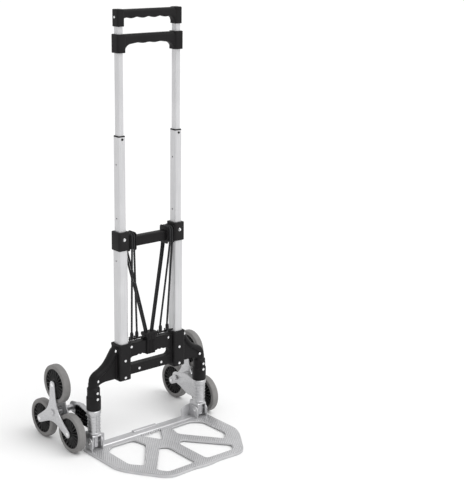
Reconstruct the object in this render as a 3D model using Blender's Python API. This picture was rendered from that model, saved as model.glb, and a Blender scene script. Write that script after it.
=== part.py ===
"""Stair climbing trolley, unfolded: a folding hand truck with a telescoping frame and two three-wheel clusters.

Metres, +Z up, the floor at z = 0. The trolley is symmetric about x = 0. The toe plate reaches towards -Y and
the wheel clusters stand behind the legs, towards +Y. The origin is on the floor, midway between the wheels.
"""

import math

import bmesh
import bpy
from mathutils import Matrix, Vector

GAP = 0.0003            # clearance between touching pieces
SIDES = (("left", -1), ("right", 1))

# Telescoping tubes: outer size across X and Y, corner radius
TUBE_X = 0.080
WALL = 0.0012
OUTER_TUBE = (0.0240, 0.0280, 0.0050)
MIDDLE_TUBE = (0.0188, 0.0224, 0.0038)
INNER_TUBE = (0.0138, 0.0172, 0.0030)
OUTER_TUBE_Z = (0.1720, 0.5200)
MIDDLE_TUBE_Z = (0.4700, 0.7430)
INNER_TUBE_Z = (0.6930, 1.0190)
BUSH_HEIGHT = 0.0025

# Lock buttons, one at the top of each outer and middle tube
BUTTON_R = 0.0025
LOWER_BUTTON_Z = 0.5065
UPPER_BUTTON_Z = 0.7380

# Crossbar with its collars, and the cord saddles on it
COLLAR_SIZE = (0.0296, 0.0336)
COLLAR_Z = (0.4800, 0.5240)
BAR_Z = (0.4840, 0.5080)
BAR_HALF_Y = 0.0090
SADDLE_X = 0.0549
SADDLE_HALF_X = 0.0099
SADDLE_FLANGE = 0.0018
SADDLE_CORE = (0.0118, 0.4790, 0.5130)
SADDLE_ROUND = 0.0040
SADDLE_RIM = (0.0160, 0.4760, 0.5190)

# Handles
MIDDLE_GRIP_Z = (0.9300, 0.9710)
MIDDLE_SOCKET = (0.0230, 0.0270)
TOP_GRIP_Z = (0.9875, 1.0250)
TOP_SOCKET = (0.0195, 0.0236)
GRIP_HALF_Y = 0.0108
FINGERS = 4

# Base housing
SOCKET_SIZE = (0.0330, 0.0370)
SOCKET_Z = (0.1640, 0.2536)
BEAM_Y = (-0.0070, 0.0120)
BEAM_Z = (0.1710, 0.2480)
SLOT_HALF_X = 0.0600
SLOT_Z = (0.1945, 0.2150)
ARM_Y = (-0.0095, 0.0155)

# Legs
LEG_X = 0.1580
LEG_Y = 0.0030
POST_R = 0.0115
POST_Z = (0.0458, 0.1600)
BOOT_R = 0.0172
BOOT_TOP_R = 0.0155
BOOT_Z = (0.1058, 0.1380, 0.1760)
FOOT_HALF_X = 0.0130
FOOT_TOP = 0.0455
FOOT_Y = (-0.0105, 0.0245)
FOOT_OPEN = (0.0100, 0.0400)    # half width and top of the foot's open front
KNUCKLE = (0.0052, 0.0130)      # half width and bottom of the knuckle inside it
KNUCKLE_FRONT = -0.0055

# Toe plate and its hinge
HINGE_Y = 0.0
HINGE_Z = 0.0250
PIN_R = 0.0029
EAR_R = 0.0115
EAR_INNER = 0.0135      # from the leg axis to the near face of each ear
EAR_THICK = 0.0028
EAR_TOP = 0.0360        # top of the gusset behind each inner ear
PLATE_TOP = 0.0065
WEB_BOTTOM = 0.0025
BEAM_TOP = 0.0085
BUMP_HALF_X = 0.0350
PLATE_HALF_X = 0.1800
PLATE_REAR = 0.0245
PLATE_FRONT = -0.2300
RIM_WIDTH = 0.0060

# Wheel clusters
AXLE_Y = 0.0930
ARM_LENGTH = 0.0700
WHEEL_R = 0.0470
AXLE_Z = WHEEL_R + ARM_LENGTH / 2
WHEEL_X = 0.1998
TYRE_HALF = 0.0092
HUB_HALF = 0.0095
RIM_R = 0.0363
WHEEL_SEGMENTS = 20
INNER_SPIDER_X = (0.1868, 0.1895)
OUTER_SPIDER_X = (0.2118, 0.2147)
SPIDER_TIP_R = 0.0094
SPIDER_VALLEY = 0.0190
WHEEL_PIN_R = 0.0038
CLUSTER_AXLE_R = 0.0040
SPACER_R = 0.0070
BRACKET_X = (0.1545, 0.1575)
WHEEL_ANGLES = (("top", 90), ("front", 210), ("back", 330))

# Elastic cords
CORD_D = 0.0050
CORD_PITCH = 0.0062     # spacing of the two cords over one saddle
CLAMP_TOP = 0.2660
HOOK_TOP = 0.2785
HOOK_Y = -0.0145
ANCHOR_Y = -0.0095
ANCHOR_Z = 0.2600
HOOKS = (("left_outer", -1, 1, -0.0600), ("left_inner", -1, -1, -0.0455),
         ("right_inner", 1, -1, 0.0240), ("right_outer", 1, 1, 0.0440))


# ---------------------------------------------------------------- materials

def principled(name, colour, roughness, metallic):
    mat = bpy.data.materials.new(name)
    mat.use_nodes = True
    shader = mat.node_tree.nodes["Principled BSDF"]
    shader.inputs["Base Color"].default_value = (*colour, 1.0)
    shader.inputs["Roughness"].default_value = roughness
    shader.inputs["Metallic"].default_value = metallic
    return mat


# ---------------------------------------------------------------- outlines

def arc(centre, radius, start, end, steps):
    """Points from start to end, in degrees, both ends included."""
    cx, cy = centre
    angles = [math.radians(start + (end - start) * i / steps) for i in range(steps + 1)]
    return [(cx + radius * math.cos(a), cy + radius * math.sin(a)) for a in angles]


def rounded_box(centre, size, radius, steps=2):
    cx, cy = centre
    x, y = size[0] / 2 - radius, size[1] / 2 - radius
    corners = (((x, y), 0), ((-x, y), 90), ((-x, -y), 180), ((x, -y), 270))
    points = []
    for (dx, dy), start in corners:
        points += arc((cx + dx, cy + dy), radius, start, start + 90, steps)
    return points


def circle(centre, radius, steps):
    return arc(centre, radius, 0, 360, steps)[:-1]


def rounded_polygon(corners, radius, steps=2):
    """A polygon whose corners are replaced by quadratic curves that start a radius away from each corner."""
    points = []
    count = len(corners)
    for i, corner in enumerate(corners):
        here = Vector(corner)
        before = Vector(corners[i - 1]) - here
        after = Vector(corners[(i + 1) % count]) - here
        a = here + before.normalized() * min(radius, before.length * 0.45)
        b = here + after.normalized() * min(radius, after.length * 0.45)
        for s in range(steps + 1):
            t = s / steps
            point = a * (1 - t) ** 2 + here * 2 * t * (1 - t) + b * t ** 2
            points.append(tuple(point))
    return points


def smooth_path(points, step):
    """A Catmull-Rom curve through the points, sampled about every step."""
    knots = [Vector(p) for p in points]
    knots = [knots[0] * 2 - knots[1]] + knots + [knots[-1] * 2 - knots[-2]]
    path = []
    for a, b, c, d in zip(knots, knots[1:], knots[2:], knots[3:]):
        pieces = max(1, round((c - b).length / step))
        for i in range(pieces):
            t = i / pieces
            path.append(0.5 * (2 * b + (c - a) * t + (2 * a - 5 * b + 4 * c - d) * t ** 2
                               + (3 * b - a - 3 * c + d) * t ** 3))
    path.append(knots[-2])
    return path


# ---------------------------------------------------------------- solids

PLACE = {
    "X": lambda a, b, t: (t, a, b),
    "Y": lambda a, b, t: (a, t, b),
    "Z": lambda a, b, t: (a, b, t),
}


def finish(name, bm, mat, smooth=True):
    bmesh.ops.recalc_face_normals(bm, faces=bm.faces)
    mesh = bpy.data.meshes.new(name)
    bm.to_mesh(mesh)
    bm.free()
    if mat is not None:
        mesh.materials.append(mat)
    if smooth:
        mesh.shade_smooth()
        mesh.set_sharp_from_angle(angle=math.radians(35))
    obj = bpy.data.objects.new(name, mesh)
    bpy.context.collection.objects.link(obj)
    return obj


def prism(name, loops, axis, span, mat=None):
    """Extrudes an outline, with any further loops as holes, along an axis between the two values of span."""
    low, high = min(span), max(span)
    bm = bmesh.new()
    edges = []
    for loop in loops:
        verts = [bm.verts.new(PLACE[axis](a, b, low)) for a, b in loop]
        edges += [bm.edges.new(pair) for pair in zip(verts, verts[1:] + verts[:1])]
    bmesh.ops.triangle_fill(bm, edges=edges, use_beauty=True, use_dissolve=False)
    extruded = bmesh.ops.extrude_face_region(bm, geom=bm.faces[:], use_keep_orig=True)
    moved = [v for v in extruded["geom"] if isinstance(v, bmesh.types.BMVert)]
    bmesh.ops.translate(bm, verts=moved, vec=Vector(PLACE[axis](0, 0, high - low)))
    return finish(name, bm, mat)


def turned(name, profile, axis, centre, mat=None, segments=16, bored=False):
    """Turns (along, radius) points about an axis through centre; a bored profile closes on itself."""
    bm = bmesh.new()
    rings = []
    for along, radius in profile:
        ring = circle(centre, radius, segments)
        rings.append([bm.verts.new(PLACE[axis](a, b, along)) for a, b in ring])
    pairs = list(zip(rings, rings[1:]))
    if bored:
        pairs.append((rings[-1], rings[0]))
    for one, two in pairs:
        for i in range(segments):
            j = (i + 1) % segments
            bm.faces.new((one[i], one[j], two[j], two[i]))
    if not bored:
        bm.faces.new(rings[0])
        bm.faces.new(rings[-1])
    return finish(name, bm, mat)


def rod(name, path, radius, sides, mat=None):
    """A round wire along a list of points, with flat ends."""
    bm = bmesh.new()
    rings = []
    side = None
    for i, point in enumerate(path):
        ahead = path[min(i + 1, len(path) - 1)]
        behind = path[max(i - 1, 0)]
        along = (ahead - behind).normalized()
        side = along.orthogonal() if side is None else side - along * side.dot(along)
        side.normalize()
        other = along.cross(side)
        ring = [point + side * x + other * y for x, y in circle((0, 0), radius, sides)]
        rings.append([bm.verts.new(p) for p in ring])
    for one, two in zip(rings, rings[1:]):
        for i in range(sides):
            j = (i + 1) % sides
            bm.faces.new((one[i], one[j], two[j], two[i]))
    bm.faces.new(rings[0])
    bm.faces.new(rings[-1])
    return finish(name, bm, mat)


def bake(obj):
    """Replaces an object's mesh with the result of its modifiers."""
    bpy.context.view_layer.update()
    graph = bpy.context.evaluated_depsgraph_get()
    mesh = bpy.data.meshes.new_from_object(obj.evaluated_get(graph))
    obj.modifiers.clear()
    obj.data = mesh
    return obj


def combine(target, tools, operation):
    for tool in tools:
        modifier = target.modifiers.new(operation.title(), "BOOLEAN")
        modifier.operation = operation
        modifier.object = tool
    bake(target)
    for tool in tools:
        bpy.data.objects.remove(tool)
    return target


def add(target, *tools):
    return combine(target, tools, "UNION")


def cut(target, *tools):
    return combine(target, tools, "DIFFERENCE")


def soften(obj, width, segments=1, angle=50):
    modifier = obj.modifiers.new("Bevel", "BEVEL")
    modifier.width = width
    modifier.segments = segments
    modifier.limit_method = "ANGLE"
    modifier.angle_limit = math.radians(angle)
    return bake(obj)


def span(side, near, far):
    return (side * near, side * far)


def tube_loop(size, side, grow=0.0):
    width, depth, radius = size
    return rounded_box((side * TUBE_X, 0), (width + 2 * grow, depth + 2 * grow), radius + grow)


def button_hole(side, z, y_span, radius):
    return prism("cutter", [circle((side * TUBE_X, z), radius, 8)], "Y", y_span)


# ---------------------------------------------------------------- telescoping frame

def tube(name, size, z_span, side, mat):
    return prism(name, [tube_loop(size, side), tube_loop(size, side, -WALL)], "Z", z_span, mat)


def make_tubes(aluminium, plastic):
    hole = BUTTON_R + 2 * GAP
    for tag, side in SIDES:
        outer = tube(f"outer_tube_{tag}", OUTER_TUBE, OUTER_TUBE_Z, side, aluminium)
        cut(outer, button_hole(side, LOWER_BUTTON_Z, (-0.020, -0.010), BUTTON_R + GAP))
        middle = tube(f"middle_tube_{tag}", MIDDLE_TUBE, MIDDLE_TUBE_Z, side, aluminium)
        cut(middle, button_hole(side, LOWER_BUTTON_Z, (-0.020, -0.008), hole),
            button_hole(side, UPPER_BUTTON_Z, (-0.020, -0.008), BUTTON_R + GAP))
        inner = tube(f"inner_tube_{tag}", INNER_TUBE, INNER_TUBE_Z, side, aluminium)
        cut(inner, button_hole(side, UPPER_BUTTON_Z, (-0.020, -0.004), hole))
        foot = MIDDLE_TUBE_Z[1] + GAP
        prism(f"guide_bush_{tag}",
              [tube_loop(MIDDLE_TUBE, side), tube_loop(INNER_TUBE, side, GAP)], "Z",
              (foot, foot + BUSH_HEIGHT), plastic)


def make_buttons(steel):
    """Each button runs through the wall that carries it and stops just short of the tube inside."""
    runs = (("lower", LOWER_BUTTON_Z, -0.0192, -MIDDLE_TUBE[1] / 2),
            ("upper", UPPER_BUTTON_Z, -0.0134, -INNER_TUBE[1] / 2))
    for level, z, head, stop in runs:
        for tag, side in SIDES:
            tip = stop - GAP
            profile = ((head, 0.0016), (head + 0.0007, BUTTON_R), (tip, BUTTON_R))
            turned(f"lock_button_{level}_{tag}", profile, "Y", (side * TUBE_X, z), steel, segments=8)


def make_crossbar(plastic):
    bar = prism("crossbar", [rounded_box((0, sum(BAR_Z) / 2), (0.140, BAR_Z[1] - BAR_Z[0]), 0.003)],
                "Y", (-BAR_HALF_Y, BAR_HALF_Y), plastic)
    for _, side in SIDES:
        collar = prism("collar", [rounded_box((side * TUBE_X, 0), COLLAR_SIZE, 0.005)], "Z", COLLAR_Z)
        add(bar, soften(collar, 0.0012))
    for _, side in SIDES:
        seat = prism("cutter", [tube_loop(OUTER_TUBE, side, GAP)], "Z",
                     (COLLAR_Z[0] - 0.01, OUTER_TUBE_Z[1] + GAP))
        mouth = prism("cutter", [tube_loop(MIDDLE_TUBE, side, GAP)], "Z", (0.50, COLLAR_Z[1] + 0.01))
        cut(bar, seat, mouth, button_hole(side, LOWER_BUTTON_Z, (-0.030, -0.010), BUTTON_R + GAP))


def make_saddles(plastic):
    """A moulded sleeve on the bar with a flange at each end; the two cords cross it between the flanges."""
    for tag, side in SIDES:
        half_y, low, high = SADDLE_CORE
        rim_y, rim_low, rim_high = SADDLE_RIM
        centre = side * SADDLE_X
        bore = [(-BAR_HALF_Y - GAP, BAR_Z[0] - GAP), (BAR_HALF_Y + GAP, BAR_Z[0] - GAP),
                (BAR_HALF_Y + GAP, BAR_Z[1] + GAP), (-BAR_HALF_Y - GAP, BAR_Z[1] + GAP)]
        core = rounded_box((0, (low + high) / 2), (2 * half_y, high - low), SADDLE_ROUND)
        rim = rounded_box((0, (rim_low + rim_high) / 2), (2 * rim_y, rim_high - rim_low), 0.006)
        saddle = prism(f"cord_saddle_{tag}", [core], "X",
                       (centre - SADDLE_HALF_X + 0.0005, centre + SADDLE_HALF_X - 0.0005), plastic)
        for end in (-1, 1):
            edge = centre + end * SADDLE_HALF_X
            add(saddle, prism("flange", [rim], "X", (edge, edge - end * SADDLE_FLANGE)))
        cut(saddle, prism("cutter", [bore], "X", (centre - 0.02, centre + 0.02)))


def grip_outline(z_span, half_length, thickness, drop):
    """Front view of a grip: a straight top, and an underside with finger hollows that runs down at both ends."""
    low, high = z_span[0], z_span[1] - 0.0006
    base = high - thickness
    steps = 4 * FINGERS
    wave = []
    for i in range(steps + 1):
        u = i / steps
        x = half_length * 0.86 * (1 - 2 * u)
        ripple = 0.0013 * math.cos(2 * math.pi * FINGERS * u)
        wave.append((x, base - ripple))
    right_end = [(half_length, high), (half_length, low + drop)]
    left_end = [(-half_length, low + drop), (-half_length, high)]
    return left_end[1:] + right_end + wave + left_end[:1]


def make_handle(name, z_span, socket, thickness, mat, ceiling):
    """Two sockets joined by a grip; the inner tubes fill them up to the ceiling."""
    reach = TUBE_X - socket[0] / 2 + 0.004
    grip = prism(name, [grip_outline(z_span, reach, thickness, 0.006)], "Y",
                 (-GRIP_HALF_Y, GRIP_HALF_Y), mat)
    soften(grip, 0.0035, 1, 60)
    for _, side in SIDES:
        block = prism("socket", [rounded_box((side * TUBE_X, 0), socket, 0.005)], "Z", z_span)
        add(grip, soften(block, 0.0015))
    for _, side in SIDES:
        cut(grip, prism("cutter", [tube_loop(INNER_TUBE, side, GAP)], "Z", (z_span[0] - 0.01, ceiling)))


# ---------------------------------------------------------------- base

def slot_outline():
    """The carrying slot: a flat bottom, round ends, and finger hollows along the top beside the cord clamp."""
    low, high = SLOT_Z
    radius = (high - low) / 2
    middle = (low + high) / 2
    reach = SLOT_HALF_X - radius
    right = arc((reach, middle), radius, -90, 90, 6)
    left = arc((-reach, middle), radius, 90, 270, 6)
    top = []
    for sign in (1, -1):
        waves = [(sign * x, high + 0.0022 * math.sin(math.pi * (x - 0.018) / 0.0105) ** 2)
                 for x in [0.018 + 0.0021 * i for i in range(11)]]
        top += reversed(waves) if sign == 1 else waves
    return right + top + left


def arm_outline(side):
    """Front view of the shoulder that runs from a tube socket out and down to the leg."""
    socket_edge = TUBE_X + SOCKET_SIZE[0] / 2 - 0.004
    points = [(socket_edge, 0.2500), (0.1030, 0.2500), (0.1110, 0.2360), (0.1190, 0.2240),
              (0.1290, 0.2110), (0.1420, 0.2010), (0.1560, 0.1930), (0.1660, 0.1850),
              (0.1720, 0.1740), (0.1725, 0.1600), (0.1460, 0.1600), (0.1440, 0.1730),
              (0.1370, 0.1775), (0.1180, 0.1790), (0.1060, 0.1720), (socket_edge, 0.1680)]
    return [(side * x, z) for x, z in points]


def make_housing(plastic):
    beam = [(-0.068, BEAM_Z[0]), (0.068, BEAM_Z[0]), (0.068, BEAM_Z[1])]
    beam += [(0.020, BEAM_Z[1]), (-0.020, BEAM_Z[1]), (-0.068, BEAM_Z[1])]
    housing = prism("base_housing", [beam, slot_outline()], "Y", BEAM_Y, plastic)
    soften(housing, 0.0018, 1, 60)
    for _, side in SIDES:
        block = prism("socket", [rounded_box((side * TUBE_X, 0.001), SOCKET_SIZE, 0.004)], "Z", SOCKET_Z)
        arm = prism("arm", [arm_outline(side)], "Y", ARM_Y)
        low, lip, top = BOOT_Z
        boot = turned("boot", ((low, BOOT_R), (lip, BOOT_R), (lip + 0.001, BOOT_TOP_R), (top, BOOT_TOP_R),
                               (top + 0.008, 0.0110), (top + 0.0105, 0.0050)),
                      "Z", (side * LEG_X, LEG_Y))
        add(housing, soften(block, 0.0012), soften(arm, 0.0040, 1, 60), boot)
    for _, side in SIDES:
        seat = prism("cutter", [tube_loop(OUTER_TUBE, side, GAP)], "Z", (OUTER_TUBE_Z[0] - GAP, 0.27))
        bore = turned("cutter", ((BOOT_Z[0] - 0.01, POST_R + GAP), (POST_Z[1] + GAP, POST_R + GAP)),
                      "Z", (side * LEG_X, LEG_Y))
        cut(housing, seat, bore)


def make_legs(chrome, steel):
    """A post with a channel-shaped foot, open at the front around the knuckle that the hinge pin passes."""
    for tag, side in SIDES:
        turned(f"leg_post_{tag}", ((POST_Z[0], POST_R), (POST_Z[1], POST_R)), "Z",
               (side * LEG_X, LEG_Y), chrome)
        front, rear = FOOT_Y
        profile = [(front, 0.0140), (front + 0.0035, 0.0095), (front + 0.0080, 0.0078), (rear - 0.0045, 0.0078),
                   (rear, 0.0110), (rear, FOOT_TOP), (front + 0.0035, FOOT_TOP), (front, 0.0420)]
        near, far = LEG_X - FOOT_HALF_X, LEG_X + FOOT_HALF_X
        foot = soften(prism(f"leg_foot_{tag}", [profile], "X", span(side, near, far), steel), 0.0022, 1, 80)
        half, top = FOOT_OPEN
        knuckle, low = KNUCKLE
        recess = [(-half, 0.0), (half, 0.0), (half, top), (-half, top)]
        gaps = recess[:3] + [(knuckle, top), (knuckle, low), (-knuckle, low), (-knuckle, top)] + recess[3:]
        for outline, depth in ((recess, KNUCKLE_FRONT), (gaps, 0.0080)):
            loop = [(side * LEG_X + x, z) for x, z in outline]
            cut(foot, prism("cutter", [loop], "Y", (-0.0200, depth)))
        bore = prism("cutter", [circle((HINGE_Y, HINGE_Z), PIN_R + GAP, 10)], "X",
                     span(side, near - 0.01, far + 0.01))
        cut(foot, bore)


def make_hinge_pins(steel):
    first = EAR_INNER + EAR_THICK + GAP
    for tag, side in SIDES:
        profile = [(-first - 0.0018, 0.0042), (-first - 0.0014, 0.0050), (-first, 0.0050), (-first, PIN_R),
                   (first, PIN_R), (first, 0.0050), (first + 0.0014, 0.0050), (first + 0.0018, 0.0042)]
        turned(f"hinge_pin_{tag}", [(side * LEG_X + t, r) for t, r in profile], "X",
               (HINGE_Y, HINGE_Z), steel, segments=10)


# ---------------------------------------------------------------- toe plate

def mirrored(points):
    """Adds the other half of an outline that runs from x = 0 on one side to x = 0 on the other."""
    return points + [(-x, y) for x, y in reversed(points)]


def plate_outline(inset=0.0):
    half = PLATE_HALF_X - inset
    rear, front = PLATE_REAR - inset, PLATE_FRONT + inset
    return mirrored([(0.1745 - inset, rear), (half, rear - 0.0080), (half, -0.1150), (0.1700 - inset, -0.1400),
                     (0.1520 - inset, -0.1680), (0.1200 - inset, front + 0.0160), (0.1080 - inset, front + 0.0060),
                     (0.0920 - inset, front + 0.0020), (0.0640, front + 0.0035), (0.0320, front + 0.0045),
                     (0.0140, front + 0.0005)])


def plate_openings():
    """Two side openings, two front openings and a triangle at the back, between seven ribs."""
    side_opening = [(0.0570, -0.0140), (0.1200, -0.0130), (0.1430, -0.0330), (0.1450, -0.1180),
                    (0.1200, -0.1455), (0.0480, -0.0540)]
    front_opening = [(0.0150, -0.0985), (0.0330, -0.0860), (0.1120, -0.1805), (0.0965, -0.2045),
                     (0.0160, -0.2035)]
    triangle = [(-0.0350, -0.0010), (0.0350, -0.0010), (0.0, -0.0580)]
    loops = [rounded_polygon(triangle, 0.010)]
    for _, side in SIDES:
        for shape in (side_opening, front_opening):
            loops.append(rounded_polygon([(side * x, y) for x, y in shape], 0.010))
    return loops


def ear_outlines():
    """Side views of the inner ear, which runs back to its gusset, and the outer ear, round about the hinge pin."""
    front, rear = FOOT_Y[0] - 0.0020, PLATE_REAR - 0.0005
    inner = [(front, 0.0040), (rear, 0.0040), (rear, EAR_TOP)] + arc((HINGE_Y, HINGE_Z), EAR_R, 80, 190, 5)
    outer = [(front, 0.0040), (0.0150, 0.0040)] + arc((HINGE_Y, HINGE_Z), EAR_R, -10, 190, 6)
    return inner, outer


def make_toe_plate(cast):
    plate = prism("toe_plate", [plate_outline()] + plate_openings(), "Z", (0.0, PLATE_TOP), cast)
    pocket = prism("cutter", [plate_outline(RIM_WIDTH)], "Z", (-0.010, WEB_BOTTOM))
    cut(plate, pocket)
    rear = PLATE_REAR - 0.0003
    profile = [(-0.0015, 0.0), (rear, 0.0), (rear, BEAM_TOP - 0.0020), (rear - 0.0020, BEAM_TOP),
               (0.0010, BEAM_TOP), (-0.0015, BEAM_TOP - 0.0020)]
    beam = prism("beam", [profile], "X", (-0.136, 0.136))
    bump = prism("bump", [rounded_box((0.0185, 0.0076), (0.0110, 0.0080), 0.0020)], "X",
                 (-BUMP_HALF_X, BUMP_HALF_X))
    add(plate, beam, bump)
    for _, side in SIDES:
        for toward, outline in zip((-side, side), ear_outlines()):
            near = side * LEG_X + toward * EAR_INNER
            ear = prism("ear", [outline], "X", (near, near + toward * EAR_THICK))
            add(plate, ear)
        flange = [(0.1170, 0.0060), (0.1430, 0.0060), (0.1430, EAR_TOP - 0.0005), (0.1320, EAR_TOP - 0.0020),
                  (0.1170, EAR_TOP - 0.0080)]
        add(plate, prism("gusset", [[(side * x, z) for x, z in flange]], "Y",
                         (PLATE_REAR - 0.0038, PLATE_REAR - 0.0008)))
        cut(plate, prism("cutter", [circle((HINGE_Y, HINGE_Z), PIN_R + GAP, 10)], "X",
                         span(side, LEG_X - 0.025, LEG_X + 0.025)))


# ---------------------------------------------------------------- wheel clusters

def spider_outline():
    points = []
    for k in range(3):
        angle = 90 + 120 * k
        a = math.radians(angle)
        tip = (AXLE_Y + ARM_LENGTH * math.cos(a), AXLE_Z + ARM_LENGTH * math.sin(a))
        points += arc(tip, SPIDER_TIP_R, angle - 80, angle + 80, 4)
        points += arc((AXLE_Y, AXLE_Z), SPIDER_VALLEY, angle + 40, angle + 80, 2)
    return points


def wheel_centre(angle):
    a = math.radians(angle)
    return (AXLE_Y + ARM_LENGTH * math.cos(a), AXLE_Z + ARM_LENGTH * math.sin(a))


def make_spiders(tag, side, steel):
    """The outer spider carries the three wheel pins, which pass through the wheels and the inner spider."""
    hole = circle((AXLE_Y, AXLE_Z), CLUSTER_AXLE_R + GAP, 12)
    inner_holes = [circle(wheel_centre(angle), WHEEL_PIN_R + GAP, 10) for _, angle in WHEEL_ANGLES]
    prism(f"spider_inner_{tag}", [spider_outline(), hole] + inner_holes, "X", span(side, *INNER_SPIDER_X), steel)
    outer = prism(f"spider_outer_{tag}", [spider_outline(), hole], "X", span(side, *OUTER_SPIDER_X), steel)
    for _, angle in WHEEL_ANGLES:
        pin = ((INNER_SPIDER_X[0] - 0.001, WHEEL_PIN_R), (OUTER_SPIDER_X[0] + 0.0008, WHEEL_PIN_R),
               (OUTER_SPIDER_X[0] + 0.0008, 0.0052), (OUTER_SPIDER_X[1] + 0.0012, 0.0046))
        add(outer, turned("pin", [(side * t, r) for t, r in pin], "X", wheel_centre(angle), segments=10))


def make_wheel(tag, side, place, angle, tyre_mat, rim_mat):
    centre = wheel_centre(angle)
    wall, flat = TYRE_HALF - 0.0015, TYRE_HALF - 0.0022
    tyre = [(-wall, 0.0366), (-TYRE_HALF, 0.0380), (-TYRE_HALF, WHEEL_R - 0.0028), (-flat, WHEEL_R),
            (flat, WHEEL_R), (TYRE_HALF, WHEEL_R - 0.0028), (TYRE_HALF, 0.0380), (wall, 0.0366)]
    bore = WHEEL_PIN_R + 2 * GAP
    rim = [(-HUB_HALF, bore), (-HUB_HALF, 0.0092), (-0.0030, 0.0112), (-0.0030, 0.0320),
           (-wall, RIM_R), (wall, RIM_R), (0.0030, 0.0320), (0.0030, 0.0112),
           (HUB_HALF, 0.0092), (HUB_HALF, bore)]
    for piece, profile, mat in (("tyre", tyre, tyre_mat), ("rim", rim, rim_mat)):
        turned(f"{piece}_{tag}_{place}", [(side * WHEEL_X + t, r) for t, r in profile], "X", centre, mat,
               segments=WHEEL_SEGMENTS, bored=True)


def make_bracket(tag, side, steel):
    """A sleeve that turns on the leg post, with the plate that carries the cluster axle and its top flange."""
    inner = POST_R + 2 * GAP
    profile = ((0.0462, inner), (0.0462, 0.0158), (0.0500, 0.0158), (0.0505, 0.0145), (0.0955, 0.0145),
               (0.0960, 0.0170), (0.1045, 0.0170), (0.1050, inner))
    bracket = turned(f"wheel_bracket_{tag}", profile, "Z", (side * LEG_X, LEG_Y), steel, bored=True)
    start = LEG_Y + 0.0128
    eye = arc((AXLE_Y, AXLE_Z), 0.0145, 80, -95, 6)
    plate = [(start, 0.0510), (start, 0.0950), (0.0500, 0.1030)] + eye + [(0.0760, 0.0640), (0.0480, 0.0520)]
    flange = [(start, 0.0925), (0.0500, 0.1010), (0.0700, 0.0995), (0.0700, 0.1020), (0.0500, 0.1035),
              (start, 0.0950)]
    add(bracket, prism("plate", [plate], "X", span(side, *BRACKET_X)),
        prism("flange", [flange], "X", span(side, BRACKET_X[0] + 0.0005, 0.1680)))
    cut(bracket, prism("cutter", [circle((AXLE_Y, AXLE_Z), CLUSTER_AXLE_R + GAP, 12)], "X",
                       span(side, 0.140, 0.175)),
        turned("cutter", ((0.04, inner), (0.11, inner)), "Z", (side * LEG_X, LEG_Y)))


def make_cluster_axle(tag, side, steel):
    """A bolt with its nut outside, and the loose spacer tube on it that holds the two spiders apart."""
    head, nut = 0.0065, 0.0066
    shoulder, washer = INNER_SPIDER_X[0] - 0.0004, OUTER_SPIDER_X[1] + 0.0004
    profile = ((0.1500, head - 0.001), (0.1505, head), (0.1541, head), (0.1541, CLUSTER_AXLE_R),
               (0.1579, CLUSTER_AXLE_R), (0.1579, 0.0075), (shoulder, 0.0075), (shoulder, CLUSTER_AXLE_R),
               (washer, CLUSTER_AXLE_R), (washer, nut), (0.2172, nut), (0.2177, nut - 0.001))
    turned(f"cluster_axle_{tag}", [(side * t, r) for t, r in profile], "X", (AXLE_Y, AXLE_Z), steel,
           segments=12)
    ends = (INNER_SPIDER_X[1] + GAP, OUTER_SPIDER_X[0] - GAP)
    tube_wall = ((ends[0], CLUSTER_AXLE_R + GAP), (ends[0], SPACER_R), (ends[1], SPACER_R),
                 (ends[1], CLUSTER_AXLE_R + GAP))
    turned(f"axle_spacer_{tag}", [(side * t, r) for t, r in tube_wall], "X", (AXLE_Y, AXLE_Z), steel,
           bored=True)


# ---------------------------------------------------------------- elastic cords

def make_clamp(plastic):
    """The clamp grips the top rail of the base and holds the cords' inner ends and the rod for their hooks."""
    rail_y = (BEAM_Y[0] - GAP, BEAM_Y[1] + GAP)
    rail_z = (SLOT_Z[1] - GAP, BEAM_Z[1] + GAP)
    front, rear, low, high = BEAM_Y[0] - 0.0030, BEAM_Y[1] + 0.0030, SLOT_Z[1] - 0.0030, BEAM_Z[1] + 0.0035
    ring = [(front, low), (rear, low), (rear, high), (front, high)]
    rail = [(y, z) for y, z in ((rail_y[0], rail_z[0]), (rail_y[1], rail_z[0]),
                                (rail_y[1], rail_z[1]), (rail_y[0], rail_z[1]))]
    clamp = prism("cord_clamp", [ring, rail], "X", (-0.0125, 0.0125), plastic)
    head = [(-0.0120, 0.2490), (0.0120, 0.2490), (0.0130, 0.2530), (0.0175, 0.2590), (0.0175, CLAMP_TOP),
            (-0.0175, CLAMP_TOP), (-0.0175, 0.2590), (-0.0130, 0.2530)]
    block = soften(prism("head", [head], "Y", (-0.0130, 0.0085)), 0.0012)
    anchor = prism("anchor", [circle((ANCHOR_Y, ANCHOR_Z), 0.0022, 8)], "X", (-0.0650, 0.0650))
    add(clamp, block, anchor)


def make_hooks(plastic):
    """A ferrule on the cord's end with a J-shaped hook that catches under the anchor rod."""
    for name, _, _, x in HOOKS:
        radius = ANCHOR_Y - HOOK_Y
        bend = arc((ANCHOR_Y, ANCHOR_Z), radius, 180, 360, 6)
        line = [(HOOK_Y, HOOK_TOP - 0.0110)] + bend + [(HOOK_Y + 2 * radius, ANCHOR_Z + 0.0050)]
        wire = rod("wire", [Vector((x, y, z)) for y, z in line], 0.0016, 6)
        profile = ((HOOK_TOP - 0.0165, 0.0028), (HOOK_TOP - 0.0140, 0.0042), (HOOK_TOP - 0.0030, 0.0042),
                   (HOOK_TOP, 0.0032))
        hook = turned(f"cord_hook_{name}", profile, "Z", (x, HOOK_Y), plastic, segments=8)
        add(hook, wire)


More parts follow.
